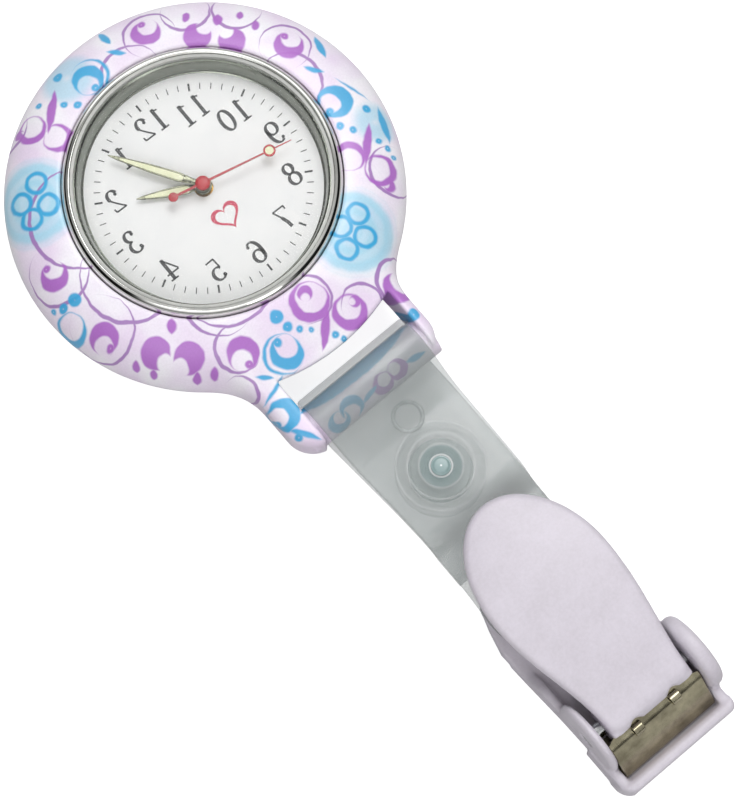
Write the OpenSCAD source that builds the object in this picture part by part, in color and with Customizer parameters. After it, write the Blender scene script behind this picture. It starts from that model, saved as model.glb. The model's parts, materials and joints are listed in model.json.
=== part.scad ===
// Fob watch: a round quartz watch in a printed silicone cover, hung from a clear
// folded strap that ends in a sprung plastic clip. Millimetres, +Z out of the dial,
// +Y towards twelve o'clock. The watch lies on its back, and the origin is on the
// surface below the middle of its outline.

/* [Overall] */
// Length from the top of the cover to the end of the clip
overall_length = 92; // [90:0.5:96]
// Distance that the crown pulls out
crown_pull = 0.5; // [0.2:0.1:0.6]
// Time shown, hour hand, degrees from twelve along the dial's numbering
hour_angle = 61.5; // [0:0.5:360]
// Time shown, minute hand
minute_angle = 32.2; // [0:0.5:360]
// Time shown, second hand
second_angle = 256.8; // [0:0.5:360]
// Direction of the dial's numbering seen from the front: 1 runs to the left, -1 to the right
dial_direction = 1; // [-1, 1]

/* [Cover] */
// Outer radius of the silicone cover
cover_r = 20; // [19.5:0.1:20.5]
// Height of the cover's rim round the bezel
cover_h = 9.5; // [9.3:0.1:9.6]
// Radius of the opening that the bezel stands in
cover_mouth_r = 14; // [13.9:0.05:14.1]
// Half the width of the lug
lug_half_w = 9.25; // [9:0.05:9.6]
// Distance of the strap bar's axis from the dial's axis
bar_y = 25.1; // [25:0.05:25.3]
// Radius of the strap bar
bar_r = 2.2; // [2:0.05:2.25]

/* [Watch case] */
// Outer radius of the metal case
case_r = 14.6; // [14.5:0.05:14.62]
// Outer radius of the bezel
bezel_r = 13.85; // [13.7:0.05:13.9]
// Radius of the crystal
crystal_r = 12.6; // [12.5:0.05:12.6]
// Radius of the dial that the flange leaves open
dial_open_r = 11.85; // [11.5:0.05:12]

/* [Hands] */
// Length of the hour hand
hour_len = 6.7; // [6:0.1:7.5]
// Length of the minute hand
minute_len = 9.9; // [9:0.1:10.4]
// Length of the second hand ahead of its hub
second_len = 9.7; // [9:0.1:10.4]
// Length of the second hand's tail
second_tail = 3.4; // [3:0.1:4]

/* [Strap] */
// Thickness of the strap
strap_t = 0.8; // [0.6:0.05:0.85]
// Half the width of the strap at the lug
strap_half_w = 6.8; // [6.5:0.05:6.85]
// Half the width of the strap at the clip
strap_end_half_w = 6.1; // [5.8:0.05:6.2]
// Distance of the snap from the dial's axis
snap_y = 36.1; // [35.8:0.1:36.5]

/* [Clip] */
// Half the width of the clip's base at its jaw
base_half_w = 6.9; // [6.8:0.05:7]
// Length of the lever
lever_len = 25.4; // [25.2:0.1:25.8]
// Half the width of the lever's thumb pad
lever_half_w = 6.8; // [6.5:0.05:6.8]
// Radius of the pin that the lever turns on
pin_r = 0.75; // [0.6:0.05:0.8]

/* [Hidden] */
$fn = 96;

eps = 0.01;
run_gap = 0.05;                       // radial clearance of a running fit
head_y = overall_length / 2 - cover_r; // the dial's axis
arc_steps = 10;

// Heights in the watch head, from the back up
back_lip_h = 1.2;
back_open_r = 11.8;
cavity_top = 8.3;
cavity_r = case_r + 0.05;
case_z0 = 1.25;
case_z1 = 8.0;
case_in_r = 13;
back_z0 = 0.5;
back_z1 = 1.9;
holder_z0 = 2.45;
holder_z1 = 6.75;
plate_z0 = 5.0;
plate_z1 = 6.0;
bridge_z0 = 2.6;
bridge_z1 = 3.0;
dial_z0 = 6.8;
dial_z1 = 7.2;
crystal_z0 = 9.2;
crystal_edge_z = 10.0;
crystal_rise = 0.35;
bezel_top = 10.2;
hour_z = 7.65;
minute_z = 8.15;
second_z = 8.65;
hand_t = 0.15;
lume_t = 0.06;

// Movement
plate_r = 9.8;
arbor_r = 0.15;
pivot_r = 0.10;
pivot_hole_r = 0.12;
second_arbor_r = 0.15;
cannon_r = 0.5;
cannon_bore_r = 0.2;
hour_tube_r = 0.8;
pinion_teeth = 6;
fifth_teeth = 30;
second_teeth = 36;
third_teeth = 45;
centre_teeth = 48;
cannon_teeth = 8;
minute_teeth = 24;
hour_teeth = 24;
rotor_m = 0.12;                        // module of the rotor's pinion and the fifth wheel
second_m = 0.145;
third_m = 0.12;
third_d = third_m * (pinion_teeth + third_teeth) / 2;
centre_m = 2 * third_d / (pinion_teeth + centre_teeth);
minute_m = 0.14;
minute_d = minute_m * (cannon_teeth + minute_teeth) / 2;
hour_m = 2 * minute_d / (pinion_teeth + hour_teeth);
fifth_d = second_m * (pinion_teeth + second_teeth) / 2;
rotor_d = rotor_m * (pinion_teeth + fifth_teeth) / 2;
third_dir = 250;
fifth_dir = 75;
rotor_dir = 110;
minute_dir = 180;
third_at = third_d * [cos(third_dir), sin(third_dir)];
fifth_at = fifth_d * [cos(fifth_dir), sin(fifth_dir)];
rotor_at = fifth_at + rotor_d * [cos(rotor_dir), sin(rotor_dir)];
minute_at = minute_d * [cos(minute_dir), sin(minute_dir)];
post_at = [[-4.0, 3.6], [-3.9, -6.1], [1.8, -6.4]];
post_r = 0.7;
screw_r = 0.35;
battery_at = [6.25, -1.2];
battery_r = 3.4;
coil_at = [0, 7.5, 3.75];
coil_r = 0.9;
coil_half = 2.5;
board_low = [-8.6, -7.2];
board_high = [-5.0, -1.4];
can_r = 0.72;
stem_z = 4.5;
stem_r = 0.4;
stem_groove_r = 0.22;
stem_groove_x = 7.6;
crown_r = 1.5;
crown_x0 = case_r + 0.1;
crown_len = 1.5;
tube_r = 0.8;

// Strap, in a plane across the lug: y is measured down from the dial's axis
bar_z = 4.6;
fold_in_r = bar_r + run_gap + 0.05;
fold_r = fold_in_r + strap_t / 2;
lug_z0 = 1.7;
lug_z1 = 7.5;
lug_low_y = bar_y + bar_r;
lug_corner_r = 3.2;
lug_web_r = cover_r + 1;
arm_in_x = strap_half_w + 0.2;
snap_low_z = 2.6;
snap_high_z = 4.9;
snap_flat = 4.55;
strap_tip_y = 43.2;
strap_tip_z = 3.45;
strap_floor_z = 1.85;
strap_floor_y = 47.5;
strap_end_y = 57;
rivet_y = 52.5;
rivet_r = 1.0;

// Clip
clip_end_y = overall_length - cover_r;
lever_tip_y = 42.2;
lever_rear_y = lever_tip_y + lever_len;
pin_y = 65.2;
pin_z = 5.0;
ear_r = 4.0;
ear_in_x = 5.75;
ear_out_x = 7.4;
ear_left_x = 6.75;
floor_t = 1.4;
base_front_y = 47.5;
base_front_half_w = 5.6;
base_step_y = 65.8;
lip_y = 70.3;
lip_z = 3.3;
cheek_z = 3.0;
cheek_y = 58;
lever_t = 1.5;
lever_tip_z = 9.3;
lever_arch = 1.3;
lever_rear_z = 8.4;
knuckle_in_x = 3.7;
knuckle_r = 1.75;
spring_t = 0.4;
spring_half_w = 3.4;
spring_jaw_half_w = 5.6;
spring_low_z = floor_t + 0.05 + spring_t / 2;
spring_high_z = 6.4;
spring_bend_r = (spring_high_z - spring_low_z) / 2;
spring_bend_y = 62.3;
spring_fall_y = 67.1;
spring_tip = [69.7, 2.3];

module at_head() { translate([0, head_y, 0]) children(); }

module disc(r, z0, z1) { translate([0, 0, z0]) cylinder(r = r, h = z1 - z0); }

module ring(r_out, r_in, z0, z1) {
    rotate_extrude() translate([r_in, z0]) square([r_out - r_in, z1 - z0]);
}

// A cylinder along X between two distances
module bar_x(r, x0, x1) { translate([x0, 0, 0]) rotate([0, 90, 0]) cylinder(r = r, h = x1 - x0); }

// Points of a quarter of an ellipse, from angle a0 to a1
function arc(cx, cy, rx, ry, a0, a1, n = arc_steps) =
    [for (i = [0:n]) let(a = a0 + (a1 - a0) * i / n) [cx + rx * cos(a), cy + ry * sin(a)]];

function ease(u) = (1 - cos(180 * u)) / 2;

// ---------------------------------------------------------------- gears

// Outline of a wheel: each tooth is a trapezium that narrows to its tip
function tooth_ring(n, m) = let(
    root = m * (n / 2 - 1.15), tip = m * (n / 2 + 0.85), pitch = 360 / n,
    half_root = 0.25 * pitch, half_tip = 0.11 * pitch)
    [for (i = [0:n - 1]) for (p = [[root, -half_root], [tip, -half_tip], [tip, half_tip], [root, half_root]])
        p[0] * [cos(i * pitch + p[1]), sin(i * pitch + p[1])]];

// Turn that puts a wheel in mesh with one at angle a, which lies in direction d from it
function mesh_turn(n_from, a, n_to, d) =
    let(u = (d - a) * n_from / 360) d + 180 + (u - 0.5) * 360 / n_to;

second_turn = 0;
third_turn = mesh_turn(pinion_teeth, second_turn, third_teeth, third_dir);
centre_turn = mesh_turn(pinion_teeth, third_turn, centre_teeth, third_dir + 180);
fifth_turn = mesh_turn(second_teeth, second_turn, pinion_teeth, fifth_dir);
rotor_turn = mesh_turn(fifth_teeth, fifth_turn, pinion_teeth, rotor_dir);
minute_wheel_turn = mesh_turn(cannon_teeth, centre_turn, minute_teeth, minute_dir);
hour_wheel_turn = mesh_turn(pinion_teeth, minute_wheel_turn, hour_teeth, minute_dir + 180);

module gear(n, m, z0, z1) {
    translate([0, 0, z0]) linear_extrude(z1 - z0) polygon(tooth_ring(n, m));
}

// A wheel's rim with four spokes' worth of windows left out
module spoked(n, m, z0, z1) {
    rim = m * (n / 2 - 1.15) - 0.25;
    difference() {
        gear(n, m, z0, z1);
        for (a = [45:90:315]) rotate(a) translate([rim * 0.6, 0, z0 - 1]) cylinder(r = rim * 0.26, h = 3);
    }
}

// A wheel's arbor, with a thin pivot at each end that runs in the bridge and in the plate
module arbor() {
    disc(arbor_r, bridge_z1 + 0.05, plate_z0 - 0.05);
    disc(pivot_r, bridge_z0 + 0.1, plate_z0 + 0.3);
}

// ---------------------------------------------------------------- watch head

function cover_profile() = concat(
    [[back_open_r, 0]],
    arc(cover_r - 4.6, bar_z, 4.6, bar_z, -90, 0),
    arc(cover_r - 6.4, bar_z, 6.4, cover_h - bar_z, 9, 86.4),
    [[cover_mouth_r, cover_h], [cover_mouth_r, cavity_top], [cavity_r, cavity_top],
     [cavity_r, back_lip_h], [back_open_r, back_lip_h]]);

module lug_outline() {
    corner_x = lug_half_w - lug_corner_r;
    polygon(concat(
        [[-lug_half_w, -15]],
        arc(-corner_x, lug_corner_r - lug_low_y, lug_corner_r, lug_corner_r, 180, 270),
        arc(corner_x, lug_corner_r - lug_low_y, lug_corner_r, lug_corner_r, 270, 360),
        [[lug_half_w, -15]]));
}

module case_cover() color("lavender") at_head() {
    pocket_x = crown_x0 + crown_len + crown_pull + 0.3;
    difference() {
        union() {
            rotate_extrude() polygon(cover_profile());
            difference() {
                translate([0, 0, lug_z0]) linear_extrude(lug_z1 - lug_z0) difference() {
                    lug_outline();
                    difference() {
                        translate([-arm_in_x, -40]) square([2 * arm_in_x, 22]);
                        circle(r = lug_web_r);
                    }
                }
                disc(cover_r - 2, 0, 12);
            }
            translate([0, -bar_y, bar_z]) bar_x(bar_r, -arm_in_x - 0.5, arm_in_x + 0.5);
        }
        translate([0, 0, stem_z]) bar_x(crown_r + 0.3, -pocket_x, -cavity_r + 0.5);
    }
}

module watch_case() color("silver") at_head() difference() {
    ring(case_r, case_in_r, case_z0, case_z1);
    translate([0, 0, stem_z]) bar_x(tube_r, -case_r - 1, -case_in_r + 1);
}

module case_back() color("gainsboro") at_head() {
    disc(back_open_r - 0.1, back_z0, case_z0);
    disc(case_in_r - 0.05, case_z0, back_z1);
}

module back_gasket() color("dimgray") at_head()
    ring(case_in_r - 0.1, case_in_r - 0.6, back_z1, holder_z0);

module bezel() color("silver") at_head() rotate_extrude() polygon(concat(
    [[crystal_r + 0.35, case_z1], [case_r, case_z1], [case_r, case_z1 + 0.25], [bezel_r, case_z1 + 0.25]],
    arc(bezel_r - 0.45, bezel_top - 0.45, 0.45, 0.45, 0, 90, 6),
    [[crystal_r + 0.35, bezel_top]]));

module crystal() color("aliceblue", 0.4) at_head() rotate_extrude() polygon(concat(
    [[0, crystal_z0], [crystal_r, crystal_z0]],
    [for (i = [0:arc_steps]) let(u = 1 - i / arc_steps)
        [crystal_r * u, crystal_edge_z + crystal_rise * (1 - u * u)]]));

module crystal_gasket() color("whitesmoke") at_head()
    ring(crystal_r + 0.33, crystal_r + 0.02, crystal_z0, crystal_edge_z - 0.1);

module dial_flange() color("silver") at_head() rotate_extrude() polygon([
    [dial_open_r, dial_z1], [case_in_r - 0.1, dial_z1], [case_in_r - 0.1, crystal_z0],
    [dial_open_r + 0.45, crystal_z0]]);

dial_foot_r = 0.35;
dial_foot_at = 11.2;

module dial() color("whitesmoke") at_head() {
    ring(case_in_r - 0.2, hour_tube_r + 0.15, dial_z0, dial_z1);
    for (a = [60, 240]) rotate(a) translate([dial_foot_at, 0, 0]) disc(dial_foot_r, dial_z0 - 1, dial_z0 + eps);
}

module movement_holder() color("ivory") at_head() difference() {
    ring(case_in_r - 0.1, plate_r + 0.15, holder_z0, holder_z1);
    for (a = [60, 240]) rotate(a) translate([dial_foot_at, 0, 0]) disc(dial_foot_r + 0.02, dial_z0 - 1.1, dial_z0);
    translate([0, 0, stem_z]) bar_x(stem_r + 0.2, -case_in_r - 1, -plate_r + 1);
}

// ---------------------------------------------------------------- movement

module pivot_holes(z0, z1) {
    for (p = [third_at, fifth_at, rotor_at]) translate(p) disc(pivot_hole_r, z0, z1);
}

module main_plate() color("goldenrod") at_head() difference() {
    union() {
        disc(plate_r, plate_z0, plate_z1);
        for (p = post_at) translate(p) disc(post_r, bridge_z1, plate_z0 + eps);
        translate(minute_at) disc(arbor_r, plate_z1 - eps, plate_z1 + 0.6);
    }
    disc(cannon_r + run_gap, plate_z0 - 1, plate_z1 + 1);
    pivot_holes(plate_z0 - eps, plate_z0 + 0.4);
    for (p = post_at) translate(p) disc(screw_r, bridge_z1 - 1, plate_z0 - 0.6);
}

module train_bridge() color("khaki") at_head() difference() {
    intersection() {
        disc(plate_r - 0.6, bridge_z0, bridge_z1);
        translate([-4.8, -7.5, 0]) cube([7.3, 13.7, 10]);
    }
    pivot_holes(bridge_z0 - 1, bridge_z1 + 1);
    disc(pivot_hole_r, bridge_z0 - 1, bridge_z1 + 1);
    for (p = post_at) translate(p) disc(screw_r + 0.02, bridge_z0 - 1, bridge_z1 + 1);
}

module bridge_screws() color("slategray") at_head() for (p = post_at) translate(p) difference() {
    union() {
        disc(0.6, bridge_z0 - 0.3, bridge_z0);
        disc(screw_r - 0.01, bridge_z0 - eps, plate_z0 - 0.8);
    }
    translate([-1, -0.08, bridge_z0 - 0.4]) cube([2, 0.16, 0.25]);
}

module battery() color("silver") at_head() translate(battery_at) {
    disc(battery_r - 0.45, 2.3, 2.5);
    disc(battery_r, 2.5, plate_z0 - 0.05);
}

module battery_contact() color("gold") at_head() translate(battery_at) {
    translate([-3.2, -0.8, 2.1]) cube([6.2, 1.6, 0.18]);
}

module circuit_board() color("seagreen") at_head() intersection() {
    disc(plate_r - 0.4, bridge_z0, bridge_z1);
    translate([board_low[0], board_low[1], 0])
        cube([board_high[0] - board_low[0], board_high[1] - board_low[1], 10]);
}

module quartz_can() color("lightgray") at_head()
    translate([-6.1, -6.4, bridge_z1 + can_r]) rotate([-90, 0, 0]) cylinder(r = can_r, h = 4.4);

module stator() color("gray") at_head() difference() {
    union() {
        translate([-2.2, 3.6, 3.3]) cube([4.4, 2.8, 0.3]);
        for (x = [-3.6, 2.6]) translate([x, 5.2, 3.3]) cube([1.0, 2.8, 0.3]);
        translate([-3.6, 5.2, 3.3]) cube([7.2, 0.8, 0.3]);
    }
    translate(rotor_at) disc(1.0, 3, 4);
}

module coil() color("chocolate") at_head() translate(coil_at) difference() {
    bar_x(coil_r, -coil_half, coil_half);
    bar_x(0.36, -coil_half - 1, coil_half + 1);
}

module coil_core() color("gray") at_head() translate(coil_at) {
    bar_x(0.34, -coil_half - 0.1 - eps, coil_half + 0.1 + eps);
    for (x = [-3.6, 2.6]) translate([x, -0.6, -0.15]) cube([1.0, 1.2, 0.3]);
}

module rotor() color("dimgray") at_head() translate(rotor_at) {
    arbor();
    disc(0.75, 3.2, 3.8);
    rotate(rotor_turn) gear(pinion_teeth, rotor_m, 3.8, 4.4);
}

module fifth_wheel() color("gold") at_head() translate(fifth_at) {
    arbor();
    rotate(fifth_turn) {
        gear(pinion_teeth, second_m, 3.2, 4.1);
        spoked(fifth_teeth, rotor_m, 4.1, 4.3);
    }
}

module second_wheel() color("gold") at_head() {
    disc(pivot_r, bridge_z0 + 0.1, bridge_z1 + 0.1);
    disc(second_arbor_r, bridge_z1 + 0.1, second_z + hand_t + 0.1);
    rotate(second_turn) {
        spoked(second_teeth, second_m, 3.3, 3.5);
        gear(pinion_teeth, third_m, 3.5, 4.1);
    }
}

module third_wheel() color("gold") at_head() translate(third_at) {
    arbor();
    rotate(third_turn) {
        spoked(third_teeth, third_m, 3.75, 3.95);
        gear(pinion_teeth, centre_m, 3.95, 4.8);
    }
}

module centre_wheel() color("gold") at_head() difference() {
    union() {
        rotate(centre_turn) {
            spoked(centre_teeth, centre_m, 4.55, 4.75);
            gear(cannon_teeth, minute_m, plate_z1 + 0.05, plate_z1 + 0.4);
        }
        disc(cannon_r, 4.5, minute_z + hand_t);
    }
    disc(cannon_bore_r, 4, minute_z + 1);
}

module minute_wheel() color("gold") at_head() translate(minute_at) rotate(minute_wheel_turn) difference() {
    union() {
        spoked(minute_teeth, minute_m, plate_z1 + 0.08, plate_z1 + 0.3);
        gear(pinion_teeth, hour_m, plate_z1 + 0.3, plate_z1 + 0.65);
    }
    disc(arbor_r + 0.03, plate_z1 - 1, plate_z1 + 1);
}

module hour_wheel() color("gold") at_head() difference() {
    union() {
        rotate(hour_wheel_turn) gear(hour_teeth, hour_m, plate_z1 + 0.45, plate_z1 + 0.62);
        disc(hour_tube_r, plate_z1 + 0.45, hour_z + hand_t);
    }
    disc(cannon_r + run_gap, plate_z1, hour_z + 1);
}

// ---------------------------------------------------------------- setting gear

module setting_lever() color("slategray") at_head() translate([0, 0, stem_z]) difference() {
    translate([-stem_groove_x - 0.12, -1.1, -1.3]) cube([0.24, 2.2, 1.7]);
    translate([-stem_groove_x - 1, -stem_groove_r - 0.03, -2]) cube([2, 2 * stem_groove_r + 0.06, 2]);
    bar_x(stem_groove_r + 0.03, -stem_groove_x - 1, -stem_groove_x + 1);
}

module stem_tube() color("silver") at_head() translate([0, 0, stem_z]) difference() {
    bar_x(tube_r, -case_r, -case_in_r - 0.05);
    bar_x(stem_r + run_gap, -case_r - 1, -case_in_r + 1);
}

module winding_stem() color("silver") at_head() translate([0, 0, stem_z]) {
    bar_x(stem_r, -crown_x0 - 0.6, -stem_groove_x - 0.2);
    bar_x(stem_groove_r, -stem_groove_x - 0.2 - eps, -stem_groove_x + 0.2 + eps);
    bar_x(stem_r, -stem_groove_x + 0.2, -6.2);
}

module crown() color("silver") at_head() translate([0, 0, stem_z]) difference() {
    bar_x(crown_r, -crown_x0 - crown_len, -crown_x0);
    bar_x(stem_r, -crown_x0 - 0.6, -crown_x0 + 1);
    for (a = [0:30:330]) rotate([a, 0, 0]) translate([0, 0, crown_r + 0.06])
        bar_x(0.16, -crown_x0 - crown_len - 1, -crown_x0 + 1);
}

// ---------------------------------------------------------------- hands

// Leaf-shaped outline of a hand: a narrow neck, the widest place and a point
function leaf(length, half_w, neck) = [
    [-neck, 0], [neck, 0], [neck * 1.1, length * 0.28], [half_w, length * 0.45],
    [half_w * 0.8, length * 0.8], [0, length], [-half_w * 0.8, length * 0.8],
    [-half_w, length * 0.45], [-neck * 1.1, length * 0.28]];

module leaf_hand(length, half_w, boss_r, bore_r, z, z_low) {
    slot = lume_slot(length, half_w);
    difference() {
        union() {
            translate([0, 0, z]) linear_extrude(hand_t) polygon(leaf(length, half_w, 0.3));
            disc(boss_r, z_low, z + hand_t);
        }
        disc(bore_r, z_low - 1, z + 1);
        translate([0, 0, z + hand_t - lume_t]) linear_extrude(1) polygon(slot);
    }
}

// Outline of the pocket in a hand that holds its luminous paint
function lume_slot(length, half_w) = [
    [-half_w * 0.28, length * 0.36], [half_w * 0.28, length * 0.36], [half_w * 0.55, length * 0.48],
    [half_w * 0.45, length * 0.78], [0, length * 0.9], [-half_w * 0.45, length * 0.78],
    [-half_w * 0.55, length * 0.48]];

module leaf_lume(length, half_w, z)
    translate([0, 0, z + hand_t - lume_t]) linear_extrude(lume_t) polygon(lume_slot(length, half_w));

hand_half_w = 0.5;

module hour_hand() color("dimgray") at_head() rotate(dial_direction * hour_angle)
    leaf_hand(hour_len, hand_half_w, 1.0, hour_tube_r, hour_z, hour_z - 0.1);

module hour_lume() color("beige") at_head() rotate(dial_direction * hour_angle)
    leaf_lume(hour_len, hand_half_w, hour_z);

module minute_hand() color("dimgray") at_head() rotate(dial_direction * minute_angle)
    leaf_hand(minute_len, hand_half_w, 0.8, cannon_r, minute_z, minute_z - 0.1);

module minute_lume() color("beige") at_head() rotate(dial_direction * minute_angle)
    leaf_lume(minute_len, hand_half_w, minute_z);

module second_hand() color("crimson") at_head() rotate(dial_direction * second_angle) difference() {
    union() {
        translate([0, 0, second_z]) linear_extrude(hand_t) {
            polygon([[-0.12, -second_tail], [0.12, -second_tail], [0.12, 0], [0.04, second_len],
                     [-0.04, second_len], [-0.12, 0]]);
            translate([0, -second_tail + 0.2]) circle(r = 0.42);
            translate([0, 7.3]) difference() {
                circle(r = 0.6);
                circle(r = 0.36);
            }
        }
        disc(0.75, second_z, second_z + 0.3);
        disc(0.32, second_z - 0.2, second_z + 0.3);
    }
    disc(second_arbor_r, second_z - 1, second_z + 0.25);
}

// ---------------------------------------------------------------- strap

// Points of one layer's middle line: from the fold, level at the snap, then to its end
function strap_line(z_fold, z_snap, y_end, z_end, y_level) = concat(
    [for (i = [0:arc_steps]) let(u = i / arc_steps)
        [bar_y + (snap_y - snap_flat - bar_y) * u, z_fold + (z_snap - z_fold) * ease(u)]],
    [for (i = [0:arc_steps]) let(u = i / arc_steps)
        [snap_y + snap_flat + (y_level - snap_y - snap_flat) * u, z_snap + (z_end - z_snap) * ease(u)]],
    y_end > y_level ? [[y_end, z_end]] : []);

function layer(line, t) = concat(
    [for (p = line) [-p[0], p[1] + t / 2]],
    [for (i = [len(line) - 1:-1:0]) [-line[i][0], line[i][1] - t / 2]]);

// A section in the Y-Z plane, given as points, made as wide as 2 * half_w
module across(half_w) { translate([-half_w, 0, 0]) rotate([90, 0, 90]) linear_extrude(2 * half_w) children(); }

module strap_outline() {
    polygon(concat(
        [[strap_half_w, -bar_y + 4], [strap_half_w, -bar_y - 2], [strap_end_half_w, -strap_tip_y]],
        arc(0, -strap_end_y + strap_end_half_w, strap_end_half_w, strap_end_half_w, 0, -180, 24),
        [[-strap_end_half_w, -strap_tip_y], [-strap_half_w, -bar_y - 2], [-strap_half_w, -bar_y + 4]]));
}

module strap() color("azure", 0.5) at_head() difference() {
    intersection() {
        union() {
            across(strap_half_w + 1) polygon(layer(strap_line(
                bar_z + fold_r, snap_high_z, strap_tip_y, strap_tip_z, strap_tip_y), strap_t));
            across(strap_half_w + 1) polygon(layer(strap_line(
                bar_z - fold_r, snap_low_z, strap_end_y, strap_floor_z, strap_floor_y), strap_t));
            translate([0, -bar_y, bar_z]) rotate([90, 0, 90]) translate([0, 0, -strap_half_w - 1])
                rotate_extrude(angle = 180, start = -90)
                    translate([fold_in_r, 0]) square([strap_t, 2 * strap_half_w + 2]);
        }
        linear_extrude(12) strap_outline();
    }
    translate([0, -snap_y, 0]) disc(snap_post_r, 0, 10);
    translate([0, -rivet_y, 0]) disc(rivet_r + run_gap, 0, 10);
}

snap_post_r = 0.9;
snap_head_r = 4.5;
snap_head_t = 0.5;
snap_low_top = snap_low_z + strap_t / 2;
snap_high_low = snap_high_z - strap_t / 2;
snap_join_z = snap_low_top + 1.0;

module at_snap() { at_head() translate([0, -snap_y, 0]) children(); }

module snap_cap() color("lightsteelblue") at_snap() {
    disc(snap_head_r, snap_high_z + strap_t / 2, snap_high_z + strap_t / 2 + snap_head_t);
    disc(snap_post_r, snap_high_low - 0.4, snap_high_z + strap_t / 2 + eps);
}

module snap_socket() color("lightsteelblue") at_snap() difference() {
    disc(3.0, snap_low_top + 0.5, snap_high_low);
    disc(1.65, snap_low_top, snap_join_z);
    disc(snap_post_r, snap_high_low - 0.4, snap_high_low + 1);
}

module snap_stud() color("lightsteelblue") at_snap() difference() {
    union() {
        disc(3.2, snap_low_top, snap_low_top + 0.4);
        disc(1.6, snap_low_top, snap_join_z - 0.05);
    }
    disc(snap_post_r, snap_low_top - 1, snap_low_top + 0.5);
}

module snap_post_cap() color("lightsteelblue") at_snap() {
    disc(snap_head_r, snap_low_z - strap_t / 2 - snap_head_t, snap_low_z - strap_t / 2);
    disc(snap_post_r, snap_low_z - strap_t / 2 - eps, snap_low_top + 0.5);
}

// ---------------------------------------------------------------- clip

module base_outline() {
    half = concat(
        arc(base_front_half_w - 2, -base_front_y - 2, 2, 2, 90, 0, 6),
        [for (i = [1:8]) let(u = i / 8) [base_front_half_w + 1.1 * ease(u), -base_front_y - 2 - 5 * u]],
        [[base_half_w - 0.35, -base_step_y], [base_half_w, -base_step_y - 0.2]],
        arc(base_half_w - 0.8, -clip_end_y + 0.8, 0.8, 0.8, 0, -90, 5));
    polygon(concat(half, [for (i = [len(half) - 1:-1:0]) [-half[i][0], half[i][1]]]));
}

module clip_base() color("thistle") at_head() difference() {
    union() {
        linear_extrude(floor_t) base_outline();
        intersection() {
            linear_extrude(lip_z) base_outline();
            translate([-10, -clip_end_y, 0]) cube([20, clip_end_y - lip_y, lip_z]);
        }
        intersection() {
            linear_extrude(cheek_z) base_outline();
            for (s = [0, 1]) mirror([s, 0, 0])
                translate([ear_in_x, -clip_end_y, 0]) cube([4, clip_end_y - cheek_y, cheek_z]);
        }
        for (span = [[ear_in_x, ear_out_x], [-ear_left_x, -ear_in_x]]) {
            translate([0, -pin_y, pin_z]) bar_x(ear_r, span[0], span[1]);
            translate([span[0], -pin_y - ear_r, 0.6]) cube([span[1] - span[0], 2 * ear_r, pin_z - 0.6]);
        }
    }
    translate([0, -pin_y, pin_z]) bar_x(pin_r, -10, 10);
    translate([0, -rivet_y, 0]) {
        disc(rivet_r, -1, 3);
        disc(1.8, -1, 0.7);
    }
}

module strap_rivet() color("silver") at_head() translate([0, -rivet_y, 0]) {
    disc(2.0, strap_floor_z + strap_t / 2 + 0.03, strap_floor_z + strap_t / 2 + 0.5);
    disc(rivet_r, 0.3, strap_floor_z + strap_t / 2 + 0.1);
    disc(1.7, 0.2, 0.7);
}

module pivot_pin() color("silver") at_head()
    translate([0, -pin_y, pin_z]) bar_x(pin_r, -ear_left_x + 0.1, ear_out_x - 0.1);

spring_bend_z = (spring_low_z + spring_high_z) / 2;

// Middle line of the spring's bend and top leg, from the lower leg round to the jaw's tip
function spring_line() = concat(
    [for (i = [0:16]) let(a = 270 - 180 * i / 16)
        [-spring_bend_y - spring_bend_r * cos(a) , spring_bend_z + spring_bend_r * sin(a)]],
    [[-spring_fall_y, spring_high_z]]);

module clip_spring() color("silver") at_head() {
    half_t = spring_t / 2;
    translate([-spring_jaw_half_w, -spring_tip[0], spring_low_z - half_t])
        cube([2 * spring_jaw_half_w, spring_tip[0] - spring_bend_y - 4, spring_t]);
    translate([-spring_half_w, -spring_bend_y - 4.2, spring_low_z - half_t])
        cube([2 * spring_half_w, 4.2, spring_t]);
    translate([-spring_half_w, -spring_bend_y, spring_bend_z]) rotate([90, 0, 90])
        rotate_extrude(angle = 180, start = -90)
            translate([spring_bend_r - half_t, 0]) square([spring_t, 2 * spring_half_w]);
    translate([-spring_half_w, -spring_fall_y, spring_high_z - half_t])
        cube([2 * spring_half_w, spring_fall_y - spring_bend_y, spring_t]);
    across(spring_jaw_half_w) polygon([
        [-spring_fall_y, spring_high_z + half_t], [-spring_fall_y, spring_high_z - half_t],
        [-spring_tip[0], spring_tip[1] - half_t], [-spring_tip[0] - 0.3, spring_tip[1]]]);
    for (x = [-2.3, 2.3]) translate([x, -68.5, 4.45]) sphere(r = 0.5, $fn = 32);
}

function lever_half_at(y) = y < 52
    ? lever_half_w * sqrt(max(0, 1 - pow((52 - y) / (52 - lever_tip_y), 2)))
    : lever_rear_half_w + (lever_half_w - lever_rear_half_w) * (1 - ease((y - 52) / (lever_rear_y - 52)));

lever_rear_half_w = 4.9;

module lever_outline() {
    front = arc(0, -52, lever_half_w, 52 - lever_tip_y, 90, 0, 16);
    rear = [for (i = [1:9]) let(y = 52 + (lever_rear_y - 1 - 52) * i / 9) [lever_half_at(y), -y]];
    corner = arc(lever_rear_half_w - 1, -lever_rear_y + 1, 1, 1, -10, -90, 4);
    half = concat(front, rear, corner);
    polygon(concat(half, [for (i = [len(half) - 1:-1:1]) [-half[i][0], half[i][1]]]));
}

// Height of the lever's top at a share u of its length from the thumb end
function lever_top(u) = lever_tip_z + (lever_rear_z - lever_tip_z) * u + lever_arch * sin(180 * pow(u, 0.85));

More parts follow.
